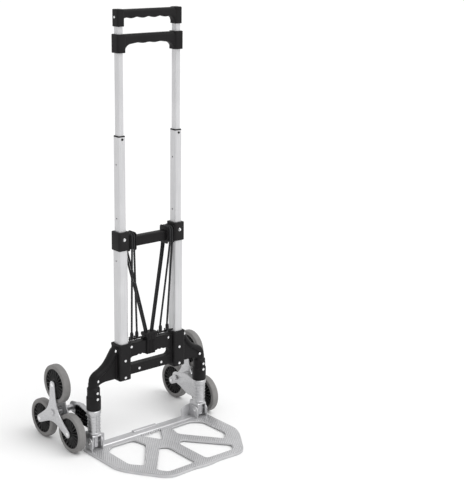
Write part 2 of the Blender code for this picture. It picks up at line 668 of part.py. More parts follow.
def make_cords(rubber):
    """Each cord runs from the clamp up behind the crossbar, over its saddle and down in front to its hook."""
    lift = CORD_D / 2 + 2 * GAP
    reach = SADDLE_CORE[0] + lift
    bend = (SADDLE_CORE[0] - SADDLE_ROUND, SADDLE_CORE[2] - SADDLE_ROUND)
    up = arc(bend, SADDLE_ROUND + lift, 0, 90, 3)
    down = [(-y, z) for y, z in reversed(up)]
    for name, side, order, hook_x in HOOKS:
        over = side * (SADDLE_X + order * CORD_PITCH / 2)
        start = side * (0.0095 + order * 0.0028)
        route = [(start, 0.0, CLAMP_TOP + GAP), (start, 0.0, CLAMP_TOP + 0.006),
                 (start * 0.6 + over * 0.4, 0.0055, 0.355), (start * 0.15 + over * 0.85, 0.0125, 0.445),
                 (over - side * 0.0004, reach + 0.0006, 0.476), (over, reach, 0.495)]
        route += [(over, y, z) for y, z in up + down]
        route += [(over, -reach, 0.495), (over * 0.98 + hook_x * 0.02, -reach - 0.0003, 0.476),
                  ((over + hook_x) / 2, (HOOK_Y - reach) / 2, 0.380), (hook_x, HOOK_Y, HOOK_TOP + 0.006),
                  (hook_x, HOOK_Y, HOOK_TOP + GAP)]
        path = smooth_path(route, 3 * CORD_D)
        curve = bpy.data.curves.new(f"cord_{name}", "CURVE")
        curve.dimensions = "3D"
        curve.bevel_depth = CORD_D / 2
        curve.bevel_resolution = 2
        curve.render_resolution_u = 0
        curve.use_fill_caps = True
        curve.twist_mode = "MINIMUM"
        spline = curve.splines.new("POLY")
        spline.points.add(len(path) - 1)
        for point, place in zip(spline.points, path):
            point.co = (*place, 1.0)
        curve.materials.append(rubber)
        bpy.context.collection.objects.link(bpy.data.objects.new(f"cord_{name}", curve))


# ---------------------------------------------------------------- assembly

def set_origin(obj, point):
    """Moves an object's origin to a point without moving its mesh."""
    obj.data.transform(Matrix.Translation(-Vector(point)))
    obj.location = point


def place_origins():
    """Puts the origin of each piece that turns on its joint's axis."""
    objects = bpy.data.objects
    set_origin(objects["toe_plate"], (0, HINGE_Y, HINGE_Z))
    for tag, side in SIDES:
        set_origin(objects[f"wheel_bracket_{tag}"], (side * LEG_X, LEG_Y, 0.0462))
        for piece, x in (("spider_inner", INNER_SPIDER_X[0]), ("spider_outer", OUTER_SPIDER_X[0]),
                         ("axle_spacer", WHEEL_X)):
            set_origin(objects[f"{piece}_{tag}"], (side * x, AXLE_Y, AXLE_Z))
        for place, angle in WHEEL_ANGLES:
            y, z = wheel_centre(angle)
            for piece in ("tyre", "rim"):
                set_origin(objects[f"{piece}_{tag}_{place}"], (side * WHEEL_X, y, z))


def main():
    for obj in list(bpy.data.objects):
        bpy.data.objects.remove(obj)
    aluminium = principled("tube_aluminium", (0.80, 0.80, 0.82), 0.35, 1.0)
    cast = principled("cast_aluminium", (0.62, 0.63, 0.65), 0.45, 0.9)
    zinc = principled("zinc_steel", (0.58, 0.59, 0.60), 0.35, 1.0)
    chrome = principled("chrome_post", (0.75, 0.76, 0.78), 0.15, 1.0)
    plastic = principled("black_plastic", (0.025, 0.025, 0.027), 0.55, 0.0)
    grip = principled("grip_rubber", (0.020, 0.020, 0.022), 0.70, 0.0)
    tyre = principled("grey_tyre", (0.21, 0.20, 0.20), 0.80, 0.0)
    cord = principled("elastic_cord", (0.015, 0.015, 0.016), 0.85, 0.0)
    make_tubes(aluminium, plastic)
    make_buttons(zinc)
    make_crossbar(plastic)
    make_saddles(plastic)
    make_handle("middle_handle", MIDDLE_GRIP_Z, MIDDLE_SOCKET, 0.0210, grip, MIDDLE_GRIP_Z[1] + 0.010)
    make_handle("top_handle", TOP_GRIP_Z, TOP_SOCKET, 0.0190, grip, INNER_TUBE_Z[1] + GAP)
    make_housing(plastic)
    make_legs(chrome, zinc)
    make_hinge_pins(zinc)
    make_toe_plate(cast)
    for tag, side in SIDES:
        make_bracket(tag, side, zinc)
        make_cluster_axle(tag, side, zinc)
        make_spiders(tag, side, zinc)
        for place, angle in WHEEL_ANGLES:
            make_wheel(tag, side, place, angle, tyre, plastic)
    make_clamp(plastic)
    make_hooks(plastic)
    make_cords(cord)
    place_origins()


main()
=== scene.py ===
"""The looks of the stair climbing trolley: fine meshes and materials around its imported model.

Metres, +Z up, the floor at z = 0. The trolley is symmetric about x = 0 but for its cord hooks. Its toe plate
reaches towards -Y and its wheel clusters stand towards +Y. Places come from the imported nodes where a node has
them, and the sizes of fine details are named in each section.
"""

import math

import bmesh
import bpy
from mathutils import Matrix, Vector


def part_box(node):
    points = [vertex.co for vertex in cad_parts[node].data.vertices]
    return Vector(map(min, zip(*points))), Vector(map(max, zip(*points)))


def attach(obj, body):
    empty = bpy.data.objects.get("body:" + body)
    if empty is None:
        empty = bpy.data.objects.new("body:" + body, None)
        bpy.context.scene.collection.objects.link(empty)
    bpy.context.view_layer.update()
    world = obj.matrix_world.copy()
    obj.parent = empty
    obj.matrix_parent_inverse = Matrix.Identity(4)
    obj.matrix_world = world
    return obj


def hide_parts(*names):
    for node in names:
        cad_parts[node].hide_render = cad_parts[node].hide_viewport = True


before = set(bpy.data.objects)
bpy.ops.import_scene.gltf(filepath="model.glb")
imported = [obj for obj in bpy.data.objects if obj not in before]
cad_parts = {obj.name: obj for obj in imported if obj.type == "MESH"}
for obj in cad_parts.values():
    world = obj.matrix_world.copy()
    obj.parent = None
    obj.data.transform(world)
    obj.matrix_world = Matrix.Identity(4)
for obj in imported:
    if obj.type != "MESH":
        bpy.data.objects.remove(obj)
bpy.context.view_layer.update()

GAP = 0.0003                    # clearance between touching pieces
SIDES = (("left", -1), ("right", 1))
WHEEL_ANGLES = (("top", 90), ("front", 210), ("back", 330))
TUBE_STAGES = (("outer_tube", "base", 0.0050), ("middle_tube", "middle_stage", 0.0038),
               ("inner_tube", "inner_stage", 0.0030))
TUBE_WALL = 0.0012

# The camera: where it stands, and its turn, downward pitch and roll in degrees
CAMERA_PLACE = (-1.64367, -2.21806, 1.22984)
CAMERA_TURN = -40.6026
CAMERA_PITCH = 15.158
CAMERA_ROLL = 0.8752
CAMERA_LENS = 90.0


# ---------------------------------------------------------------- outlines

def arc(centre, radius, start, end, steps):
    """Points from start to end, in degrees, both ends included."""
    cx, cy = centre
    angles = [math.radians(start + (end - start) * i / steps) for i in range(steps + 1)]
    return [(cx + radius * math.cos(a), cy + radius * math.sin(a)) for a in angles]


def circle(centre, radius, steps):
    return arc(centre, radius, 0, 360, steps)[:-1]


def quarter(steps):
    """The angles of a quarter turn in radians, both ends included."""
    return [math.pi / 2 * i / steps for i in range(steps + 1)]


def rounded_box(low, high, radius, steps=6, inset=0.0):
    """A rectangle between two corners with round corners, drawn in by inset."""
    radius = max(radius - inset, 0.0002)
    x0, y0 = low[0] + inset + radius, low[1] + inset + radius
    x1, y1 = high[0] - inset - radius, high[1] - inset - radius
    points = []
    for corner, start in (((x1, y1), 0), ((x0, y1), 90), ((x0, y0), 180), ((x1, y0), 270)):
        points += arc(corner, radius, start, start + 90, steps)
    return points


def rounded_polygon(corners, radius, steps=6):
    """A polygon whose corners are replaced by quadratic curves that start a radius away from each corner."""
    points = []
    count = len(corners)
    for i, corner in enumerate(corners):
        here = Vector(corner)
        before = Vector(corners[i - 1]) - here
        after = Vector(corners[(i + 1) % count]) - here
        a = here + before.normalized() * min(radius, before.length * 0.48)
        b = here + after.normalized() * min(radius, after.length * 0.48)
        for s in range(steps + 1):
            t = s / steps
            points.append(tuple(a * (1 - t) ** 2 + here * 2 * t * (1 - t) + b * t ** 2))
    return points


def smooth_path(points, step):
    """A Catmull-Rom curve through the points, sampled about every step."""
    knots = [Vector(p) for p in points]
    knots = [knots[0] * 2 - knots[1]] + knots + [knots[-1] * 2 - knots[-2]]
    path = []
    for a, b, c, d in zip(knots, knots[1:], knots[2:], knots[3:]):
        pieces = max(1, round((c - b).length / step))
        for i in range(pieces):
            t = i / pieces
            path.append(0.5 * (2 * b + (c - a) * t + (2 * a - 5 * b + 4 * c - d) * t ** 2
                               + (3 * b - a - 3 * c + d) * t ** 3))
    path.append(knots[-2])
    return path


def round_ends(low, high, radius, steps=4):
    """(along, inset) stations of a bar between low and high whose end edges are rounded."""
    ends = [(radius * (1 - math.cos(a)), radius * (1 - math.sin(a))) for a in quarter(steps)]
    return [(low + t, inset) for t, inset in ends] + [(high - t, inset) for t, inset in reversed(ends)]


def straight(low, high):
    """The stations of a bar between low and high with plain ends."""
    return [(low, 0.0), (high, 0.0)]


def mirrored(points):
    """Adds the other half of an outline that runs from x = 0 on one side to x = 0 on the other."""
    return points + [(-x, y) for x, y in reversed(points)]


# ---------------------------------------------------------------- solids

PLACE = {
    "X": lambda a, b, t: (t, a, b),
    "Y": lambda a, b, t: (a, t, b),
    "Z": lambda a, b, t: (a, b, t),
}


def shade(mesh, angle=32):
    mesh.shade_smooth()
    mesh.set_sharp_from_angle(angle=math.radians(angle))


def make(name, bm, angle=32):
    bmesh.ops.recalc_face_normals(bm, faces=bm.faces)
    mesh = bpy.data.meshes.new(name)
    bm.to_mesh(mesh)
    bm.free()
    shade(mesh, angle)
    obj = bpy.data.objects.new(name, mesh)
    bpy.context.scene.collection.objects.link(obj)
    return obj


def prism(name, loops, axis, span):
    """Extrudes an outline, with any further loops as holes, along an axis between the two values of span."""
    low, high = min(span), max(span)
    bm = bmesh.new()
    edges = []
    for loop in loops:
        verts = [bm.verts.new(PLACE[axis](a, b, low)) for a, b in loop]
        edges += [bm.edges.new(pair) for pair in zip(verts, verts[1:] + verts[:1])]
    bmesh.ops.triangle_fill(bm, edges=edges, use_beauty=True, use_dissolve=False)
    extruded = bmesh.ops.extrude_face_region(bm, geom=bm.faces[:], use_keep_orig=True)
    moved = [v for v in extruded["geom"] if isinstance(v, bmesh.types.BMVert)]
    bmesh.ops.translate(bm, verts=moved, vec=Vector(PLACE[axis](0, 0, high - low)))
    bmesh.ops.dissolve_limit(bm, angle_limit=0.001, verts=bm.verts, edges=bm.edges)
    return make(name, bm)


def skin(name, rings, closed=False, angle=32):
    """Joins closed rings of points, and either caps both ends or joins the last ring to the first."""
    bm = bmesh.new()
    loops = [[bm.verts.new(p) for p in ring] for ring in rings]
    pairs = list(zip(loops, loops[1:]))
    if closed:
        pairs.append((loops[-1], loops[0]))
    for one, two in pairs:
        for i in range(len(one)):
            j = (i + 1) % len(one)
            bm.faces.new((one[i], one[j], two[j], two[i]))
    if not closed:
        bm.faces.new(loops[0])
        bm.faces.new(loops[-1])
    return make(name, bm, angle)


def bar(name, low, high, radius, axis, stations, closed=False, steps=6):
    """A rounded rectangle drawn along an axis; each station gives a place along it and an inset."""
    rings = [[PLACE[axis](a, b, along) for a, b in rounded_box(low, high, radius, steps, inset)]
             for along, inset in stations]
    return skin(name, rings, closed)


def turned(name, profile, axis, centre, segments=48, closed=False):
    """Turns (along, radius) points about an axis through centre."""
    rings = [[PLACE[axis](a, b, along) for a, b in circle(centre, radius, segments)]
             for along, radius in profile]
    return skin(name, rings, closed)


def sweep(name, path, section, angle=60):
    """Draws a section along a path; section(i) gives the (side, up) points of its i-th ring."""
    rings = []
    side = None
    for i, point in enumerate(path):
        ahead = path[min(i + 1, len(path) - 1)]
        behind = path[max(i - 1, 0)]
        along = (ahead - behind).normalized()
        side = along.orthogonal() if side is None else side - along * side.dot(along)
        side.normalize()
        up = along.cross(side)
        rings.append([point + side * a + up * b for a, b in section(i)])
    return skin(name, rings, angle=angle)


def wire(name, points, radius):
    return sweep(name, smooth_path(points, 0.0015), lambda i: circle((0, 0), radius, 12))


def bake(obj):
    """Replaces an object's mesh with the result of its modifiers."""
    bpy.context.view_layer.update()
    graph = bpy.context.evaluated_depsgraph_get()
    mesh = bpy.data.meshes.new_from_object(obj.evaluated_get(graph))
    obj.modifiers.clear()
    obj.data = mesh
    return obj


def drop(objects):
    for obj in objects:
        bpy.data.objects.remove(obj)


def combine(target, tools, operation):
    for tool in tools:
        modifier = target.modifiers.new(operation.title(), "BOOLEAN")
        modifier.operation = operation
        modifier.object = tool
    bake(target)
    drop(tools)
    shade(target.data)
    return target


def add(target, *tools):
    return combine(target, tools, "UNION")


def cut(target, *tools):
    return combine(target, tools, "DIFFERENCE")


def soften(obj, width, segments=3, angle=40):
    modifier = obj.modifiers.new("Bevel", "BEVEL")
    modifier.width = width
    modifier.segments = segments
    modifier.limit_method = "ANGLE"
    modifier.angle_limit = math.radians(angle)
    bake(obj)
    shade(obj.data, 38)
    return obj


def merge(name, pieces):
    """Puts several objects' meshes into one object, as separate shells."""
    bm = bmesh.new()
    for piece in pieces:
        bm.from_mesh(piece.data)
    drop(pieces)
    return make(name, bm)


def mould(name, pieces, voxel, smoothing):
    """Fuses overlapping closed pieces into one moulding with small fillets where they meet."""
    obj = merge(name, pieces)
    remesh = obj.modifiers.new("Remesh", "REMESH")
    remesh.mode = "VOXEL"
    remesh.voxel_size = voxel
    smooth = obj.modifiers.new("Smooth", "SMOOTH")
    smooth.factor = 0.5
    smooth.iterations = smoothing
    bake(obj)
    shade(obj.data, 60)
    return obj


def domes(name, spots, radius, height):
    """Rivet heads: each spot is a place on a surface and the direction that the surface faces."""
    profile = [(radius * math.cos(a), height * math.sin(a)) for a in quarter(5)[:-1]]
    profile.append((radius * 0.08, height))
    heads = []
    for place, facing in spots:
        turn = Vector((0, 0, 1)).rotation_difference(Vector(facing))
        rings = [[Vector(place) + turn @ Vector((x, y, z - 0.0004)) for x, y in circle((0, 0), r, 24)]
                 for r, z in [(radius, 0.0)] + profile]
        heads.append(skin("head", rings, angle=50))
    return merge(name, heads)


# ---------------------------------------------------------------- materials

class Surface:
    """A Principled material whose texture nodes are added by the methods below."""

    def __init__(self, name, colour, roughness, metallic, **constants):
        self.material = bpy.data.materials.new(name)
        self.material.use_nodes = True
        self.tree = self.material.node_tree
        self.shader = self.tree.nodes["Principled BSDF"]
        self.shader.inputs["Base Color"].default_value = (*colour, 1.0)
        self.shader.inputs["Roughness"].default_value = roughness
        self.shader.inputs["Metallic"].default_value = metallic
        for socket, value in constants.items():
            self.shader.inputs[socket.replace("_", " ")].default_value = value
        self.coords = self.tree.nodes.new("ShaderNodeTexCoord").outputs["Object"]

    def node(self, kind, inputs=(), **settings):
        made = self.tree.nodes.new(kind)
        for key, value in settings.items():
            setattr(made, key, value)
        for socket, value in dict(inputs).items():
            if isinstance(value, bpy.types.NodeSocket):
                self.tree.links.new(value, made.inputs[socket])
            else:
                made.inputs[socket].default_value = value
        return made

    def noise(self, scale, stretch=(1, 1, 1), detail=4.0):
        """A noise whose grain is 1 / scale metres, longer along an axis where stretch is small."""
        mapped = self.node("ShaderNodeMapping", {"Vector": self.coords, "Scale": stretch})
        made = self.node("ShaderNodeTexNoise", {"Vector": mapped.outputs["Vector"], "Scale": scale,
                                                "Detail": detail})
        return made.outputs["Fac"]

    def pits(self, scale):
        made = self.node("ShaderNodeTexVoronoi", {"Vector": self.coords, "Scale": scale})
        return made.outputs["Distance"]

    def edges(self):
        """High where the surface turns over an edge."""
        point = self.node("ShaderNodeNewGeometry").outputs["Pointiness"]
        return self.spread(point, 0.52, 0.60, 0.0, 1.0)

    def spread(self, value, low, high, to_low, to_high):
        made = self.node("ShaderNodeMapRange", {"Value": value, "From Min": low, "From Max": high,
                                                "To Min": to_low, "To Max": to_high})
        return made.outputs["Result"]

    def vary(self, socket, factor, low, high):
        self.tree.links.new(self.spread(factor, 0.3, 0.7, low, high), self.shader.inputs[socket])

    def tint(self, factor, other, low=0.35, high=0.65):
        """Mixes the colour so far with another one by a factor."""
        colour = self.shader.inputs["Base Color"]
        before = colour.links[0].from_socket if colour.links else tuple(colour.default_value)
        made = self.node("ShaderNodeMix", data_type="RGBA")
        self.tree.links.new(self.spread(factor, low, high, 0.0, 1.0), made.inputs[0])
        if isinstance(before, bpy.types.NodeSocket):
            self.tree.links.new(before, made.inputs[6])
        else:
            made.inputs[6].default_value = before
        made.inputs[7].default_value = (*other, 1.0)
        self.tree.links.new(made.outputs[2], colour)

    def bump(self, height, distance, strength=1.0):
        normal = self.shader.inputs["Normal"]
        made = self.node("ShaderNodeBump", {"Height": height, "Distance": distance, "Strength": strength})
        if normal.links:
            self.tree.links.new(normal.links[0].from_socket, made.inputs["Normal"])
        self.tree.links.new(made.outputs["Normal"], normal)


def anodised_aluminium():
    """Drawn tube: long faint streaks along the tube under a satin anodised layer."""
    s = Surface("tube_aluminium", (0.62, 0.62, 0.63), 0.36, 0.45)
    streaks = s.noise(900, (1, 1, 0.015), 3)
    s.tint(streaks, (0.54, 0.54, 0.55))
    s.tint(s.noise(16), (0.65, 0.65, 0.66), 0.5, 0.9)
    s.vary("Roughness", s.noise(700, (1, 1, 0.02), 2), 0.28, 0.40)
    s.bump(streaks, 0.00003, 0.5)
    return s.material


def cast_aluminium(name, level):
    """Die-cast plate: mottled satin skin, brighter where edges are rubbed."""
    s = Surface(name, (level, level, level + 0.01), 0.44, 0.60)
    s.tint(s.noise(38), (level - 0.05, level - 0.05, level - 0.04))
    s.tint(s.edges(), (0.72, 0.72, 0.73), 0.1, 0.9)
    grain = s.noise(1900, detail=3)
    s.vary("Roughness", s.noise(260), 0.34, 0.52)
    s.bump(grain, 0.00008, 0.45)
    s.bump(s.noise(130, detail=2), 0.0002, 0.25)
    return s.material


def zinc_steel():
    """Pressed steel with a satin zinc coat: cloudy, with fine rolling marks."""
    s = Surface("zinc_steel", (0.52, 0.52, 0.53), 0.42, 0.85)
    s.tint(s.noise(70), (0.45, 0.45, 0.46))
    s.tint(s.pits(300), (0.57, 0.57, 0.58), 0.2, 0.6)
    s.vary("Roughness", s.noise(420), 0.32, 0.46)
    s.bump(s.noise(1200, (1, 0.15, 1), 2), 0.00004, 0.5)
    return s.material


def bright_steel():
    s = Surface("bright_steel", (0.86, 0.86, 0.87), 0.16, 1.0)
    s.tint(s.noise(240), (0.76, 0.76, 0.77))
    s.vary("Roughness", s.noise(900), 0.10, 0.22)
    s.bump(s.noise(1500), 0.00003, 0.4)
    return s.material


def dark_steel():
    """Blackened hook wire with a dull sheen."""
    s = Surface("dark_steel", (0.11, 0.11, 0.115), 0.30, 1.0)
    s.tint(s.noise(500), (0.07, 0.07, 0.075))
    s.vary("Roughness", s.noise(900), 0.24, 0.40)
    s.bump(s.noise(1500), 0.00003, 0.4)
    return s.material


def chrome_steel():
    """Polished post with faint grinding rings."""
    s = Surface("chrome_post", (0.80, 0.81, 0.82), 0.12, 1.0)
    rings = s.noise(1500, (0.02, 0.02, 1), 2)
    s.tint(s.noise(50), (0.72, 0.73, 0.74))
    s.vary("Roughness", rings, 0.08, 0.18)
    s.bump(rings, 0.00002, 0.4)
    return s.material


def moulded_plastic(name, colour, worn, roughness, grain=2600):
    """Matte moulded plastic: spark-eroded grain, faint flow clouds and paler rubbed edges."""
    s = Surface(name, colour, roughness, 0.0, Specular_IOR_Level=0.16)
    s.tint(s.noise(22), tuple(c * 1.35 for c in colour))
    s.tint(s.edges(), worn, 0.15, 1.2)
    s.vary("Roughness", s.noise(600), roughness - 0.08, roughness + 0.08)
    s.bump(s.noise(grain, detail=2), 0.00010, 0.6)
    return s.material


def tyre_rubber():
    """Grey rubber: dusty mottling and short moulding marks."""
    s = Surface("grey_tyre", (0.195, 0.190, 0.187), 0.72, 0.0, Specular_IOR_Level=0.35)
    s.tint(s.noise(60), (0.225, 0.220, 0.216))
    s.tint(s.noise(900), (0.165, 0.161, 0.158), 0.55, 0.8)
    s.vary("Roughness", s.noise(160), 0.62, 0.82)
    s.bump(s.noise(1700), 0.00014, 0.6)
    return s.material


def braided_sleeve():
    """The cord's woven sleeve: two crossing sets of strands, drawn along and round the cord by its UV map."""
    s = Surface("elastic_cord", (0.009, 0.009, 0.010), 0.62, 0.0, Specular_IOR_Level=0.18, Sheen_Weight=0.05)
    around = s.node("ShaderNodeUVMap").outputs["UV"]
    waves = []
    for lean in (1, -1):
        turn = s.node("ShaderNodeMapping", {"Vector": around, "Rotation": (0, 0, lean * math.radians(45)),
                                            "Scale": (16, 16, 1)})
        wave = s.node("ShaderNodeTexWave", {"Vector": turn.outputs["Vector"], "Scale": 1.0})
        waves.append(wave.outputs["Fac"])
    weave = s.node("ShaderNodeMath", {0: waves[0], 1: waves[1]}, operation="MAXIMUM").outputs["Value"]
    s.tint(weave, (0.030, 0.030, 0.032), 0.3, 1.0)
    s.tint(s.noise(800), (0.008, 0.008, 0.009), 0.5, 0.8)
    s.bump(weave, 0.0003, 0.7)
    return s.material


ALUMINIUM = anodised_aluminium()
CAST = cast_aluminium("cast_aluminium", 0.55)
# A lighter copy of the cast aluminium for the toe plate's ridges: a painted highlight where the ridges catch
# the light.
RIDGE_HIGHLIGHT = cast_aluminium("ridge_aluminium_painted_highlight", 0.86)
ZINC = zinc_steel()
BRIGHT = bright_steel()
CHROME = chrome_steel()
DARK = dark_steel()
PLASTIC = moulded_plastic("black_plastic", (0.0075, 0.0070, 0.0075), (0.038, 0.037, 0.038), 0.50)
HUB = moulded_plastic("hub_plastic", (0.004, 0.004, 0.004), (0.024, 0.024, 0.024), 0.42)
# The hub's fins get a lighter, glossier copy of the hub plastic: a painted highlight along the fins.
FIN_HIGHLIGHT = moulded_plastic("fin_plastic_painted_highlight", (0.016, 0.016, 0.016), (0.075, 0.075, 0.075), 0.34)
GRIP = moulded_plastic("grip_rubber", (0.009, 0.0085, 0.009), (0.030, 0.029, 0.030), 0.58, 1800)
TYRE = tyre_rubber()
CORD = braided_sleeve()


def fit(piece, body, material, *nodes):
    """Gives a piece its material, makes it ride on a body and lets it stand for the CAD nodes named."""
    piece.data.materials.clear()
    piece.data.materials.append(material)
    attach(piece, body)
    if nodes:
        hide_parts(*nodes)
    return piece


def middle(node):
    low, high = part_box(node)
    return (low + high) / 2


# ---------------------------------------------------------------- telescoping frame

TUBE_X = middle("outer_tube_right").x
STOP_HOLES = {"outer_tube": (0.4550,), "middle_tube": (0.5550, 0.6800)}
STOP_HOLE_R = 0.0019
BUTTON_HOLE_R = 0.0028
LIP = 0.0004                    # rounding of a tube's cut ends


def drill(axis, centre, radius, span, segments=20):
    low, high = span
    return turned("drill", [(low, radius), (high, radius)], axis, centre, segments)


def tube_seat(node, span):
    """A cutter for the seat that a tube slides or sits in, with the gap round the tube."""
    low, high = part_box(node)
    radius = next(r for name, _, r in TUBE_STAGES if node.startswith(name))
    around = Vector((GAP, GAP))
    return bar("seat", low.xy - around, high.xy + around, radius + GAP, "Z", straight(*span))


def make_tubes():
    for stage, body, radius in TUBE_STAGES:
        for tag, _ in SIDES:
            low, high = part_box(f"{stage}_{tag}")
            bottom, top = low.z, high.z
            walls = [(bottom, LIP), (bottom + LIP, 0.0), (top - LIP, 0.0), (top, LIP), (top, TUBE_WALL - LIP),
                     (top - LIP, TUBE_WALL), (bottom + LIP, TUBE_WALL), (bottom, TUBE_WALL - LIP)]
            tube = bar(f"{stage}_{tag}_fine", low.xy, high.xy, radius, "Z", walls, closed=True, steps=8)
            centre = middle(f"{stage}_{tag}")
            drills = [drill("X", (0.0, z), STOP_HOLE_R, (low.x - 0.001, high.x + 0.001))
                      for z in STOP_HOLES.get(stage, ())]
            for level in ("lower", "upper"):
                button = middle(f"lock_button_{level}_{tag}")
                if bottom < button.z < top:
                    drills.append(drill("Y", (centre.x, button.z), BUTTON_HOLE_R,
                                        (low.y - 0.001, low.y + 0.004)))
            if drills:
                cut(tube, *drills)
            fit(tube, body, ALUMINIUM, f"{stage}_{tag}")


def make_bushes():
    for tag, _ in SIDES:
        low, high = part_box(f"guide_bush_{tag}")
        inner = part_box(f"inner_tube_{tag}")[0] - Vector((GAP, GAP, 0))
        wall = inner.x - low.x
        walls = [(low.z, 0.0), (high.z - 0.0012, 0.0), (high.z - 0.0004, 0.0003), (high.z, 0.0009),
                 (high.z, wall), (low.z, wall)]
        bush = bar(f"guide_bush_{tag}_fine", low.xy, high.xy, 0.0038, "Z", walls, closed=True, steps=8)
        fit(bush, "middle_stage", PLASTIC, f"guide_bush_{tag}")


def make_buttons():
    for level, material in (("lower", BRIGHT), ("upper", HUB)):
        for tag, _ in SIDES:
            node = f"lock_button_{level}_{tag}"
            low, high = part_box(node)
            centre = middle(node)
            radius = (high.x - low.x) / 2
            crown = [(low.y + 0.0007 * (1 - math.sin(a)), radius * (0.35 + 0.65 * math.cos(a)))
                     for a in quarter(6)]
            button = turned(f"{node}_fine", [(high.y, radius)] + crown, "Y", (centre.x, centre.z), 32)
            fit(button, node, material, node)


# ---------------------------------------------------------------- crossbar and saddles

COLLAR_RADIUS = 0.0050
BAR_HALF_Y = 0.0090
BAR_Z = (0.4840, 0.5080)
BAR_ROUND = 0.0030
SADDLE_CORE = (0.0118, 0.4790, 0.5130)      # half depth, bottom and top of a saddle's sleeve
SADDLE_ROUND = 0.0040
RING = (0.0029, 0.0038, 0.0006)     # the bright ring round each lower button: bore, radius, height


def make_crossbar():
    low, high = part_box("crossbar")
    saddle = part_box("cord_saddle_right")
    rail = ((-BAR_HALF_Y, BAR_Z[0]), (BAR_HALF_Y, BAR_Z[1]))
    inner_end = TUBE_X - 0.012
    crossbar = bar("crossbar_fine", *rail, BAR_ROUND, "X", straight(-inner_end, inner_end))
    half = high.x - TUBE_X
    for _, side in SIDES:
        x = side * TUBE_X
        crossbar = add(crossbar, bar("collar", (x - half, low.y), (x + half, high.y), COLLAR_RADIUS, "Z",
                                     round_ends(low.z, high.z, 0.0016)))
    reach = saddle[0].x - 0.0030
    (rail_front, rail_low), (_, rail_high) = rail
    panel = bar("panel", (rail_front - 0.003, rail_low + 0.0045), (rail_front + 0.0008, rail_high - 0.0045),
                0.0006, "X", straight(-reach, reach))
    cut(crossbar, panel)
    rings = []
    for tag, _ in SIDES:
        button = middle(f"lock_button_lower_{tag}")
        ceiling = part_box(f"outer_tube_{tag}")[1].z + GAP
        cut(crossbar, tube_seat(f"outer_tube_{tag}", (low.z - 0.01, ceiling)),
            tube_seat(f"middle_tube_{tag}", (0.50, high.z + 0.01)),
            drill("Y", (button.x, button.z), BUTTON_HOLE_R, (low.y - 0.01, low.y + 0.006)))
        bore, radius, height = RING
        face = low.y + 0.0001
        profile = [(face, bore), (face - height * 0.7, bore), (face - height, bore + 0.0002),
                   (face - height, radius - 0.0003), (face - height * 0.6, radius), (face, radius)]
        rings.append(turned("ring", profile, "Y", (button.x, button.z), 36, closed=True))
    fit(crossbar, "base", PLASTIC, "crossbar")
    fit(merge("button_rings", rings), "base", BRIGHT)


def make_saddles():
    """A square sleeve on the bar with a raised flange at each end, and a rib between the two cords."""
    core_y, core_low, core_high = SADDLE_CORE
    for tag, _ in SIDES:
        low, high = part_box(f"cord_saddle_{tag}")
        saddle = bar(f"cord_saddle_{tag}_fine", (-core_y, core_low), (core_y, core_high), SADDLE_ROUND, "X",
                     straight(low.x + 0.0005, high.x - 0.0005))
        for edge in (low.x, high.x - 0.0018):
            flange = bar("flange", (low.y, low.z), (high.y, high.z), 0.0060, "X",
                         round_ends(edge, edge + 0.0018, 0.0005, 2))
            add(saddle, flange)
        centre = (low.x + high.x) / 2
        rib = bar("rib", (-core_y - 0.0016, core_low + 0.002), (core_y + 0.0016, core_high + 0.0016),
                  SADDLE_ROUND, "X", round_ends(centre - 0.0011, centre + 0.0011, 0.0005, 2))
        add(saddle, rib)
        cut(saddle, bar("bore", (-BAR_HALF_Y - GAP, BAR_Z[0] - GAP), (BAR_HALF_Y + GAP, BAR_Z[1] + GAP),
                        0.0003, "X", straight(low.x - 0.002, high.x + 0.002)))
        fit(saddle, "base", PLASTIC, f"cord_saddle_{tag}")


# ---------------------------------------------------------------- handles

FINGERS = 4
FINGER_PITCH = 0.0315
GRIP_SIDES = 36


def grip_section(bottom, top, half_depth):
    """A rounded hand grip section in (y, z)."""
    height = (top - bottom) / 2
    points = []
    for i in range(GRIP_SIDES):
        a = 2 * math.pi * i / GRIP_SIDES
        c, s = math.cos(a), math.sin(a)
        points.append((half_depth * math.copysign(abs(c) ** 0.55, c),
                       (top + bottom) / 2 + height * math.copysign(abs(s) ** 0.55, s)))
    return points


def make_handle(node, body, thickness, fillets, ripple, ceiling):
    """Two sockets joined by a grip with finger hollows; fillets holds the reach and drop at either end."""
    low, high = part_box(node)
    socket_low, socket_high = Vector((high.x - 2 * (high.x - TUBE_X), low.y)), Vector((high.x, high.y))
    half = (socket_high.x - socket_low.x) / 2
    inner = TUBE_X - half
    top = high.z - 0.0008
    base = top - thickness
    rings = []
    steps = 150
    for i in range(steps + 1):
        x = (inner + 0.005) * (2 * i / steps - 1)
        wave = 0.0
        if abs(x) < FINGERS * FINGER_PITCH / 2:
            wave = ripple * math.cos(2 * math.pi * x / FINGER_PITCH)
        reach, depth = fillets[0] if x < 0 else fillets[1]
        inside = max(0.0, min(1.0, (abs(x) - (inner - reach)) / reach)) if reach else 0.0
        lip = 1 - math.sqrt(max(0.0, 1 - inside ** 2))
        bottom = base + wave * (1 - inside) - depth * lip
        rings.append([(x, y, z) for y, z in grip_section(max(bottom, low.z + 0.0006), top, 0.0108)])
    pieces = [skin("grip", rings)]
    for _, side in SIDES:
        x = side * TUBE_X
        pieces.append(bar("socket", (x - half, low.y), (x + half, high.y), 0.0050, "Z",
                          round_ends(low.z, high.z, 0.0014), steps=8))
        pieces.append(bar("collar", (x - half, low.y), (x + half, high.y), 0.0050, "Z",
                          round_ends(low.z, low.z + 0.0060, 0.0004), steps=8))
    handle = mould(f"{node}_fine", pieces, 0.0007, 3)
    for tag, _ in SIDES:
        cut(handle, tube_seat(f"inner_tube_{tag}", (low.z - 0.01, ceiling)))
    fit(handle, body, GRIP, node)


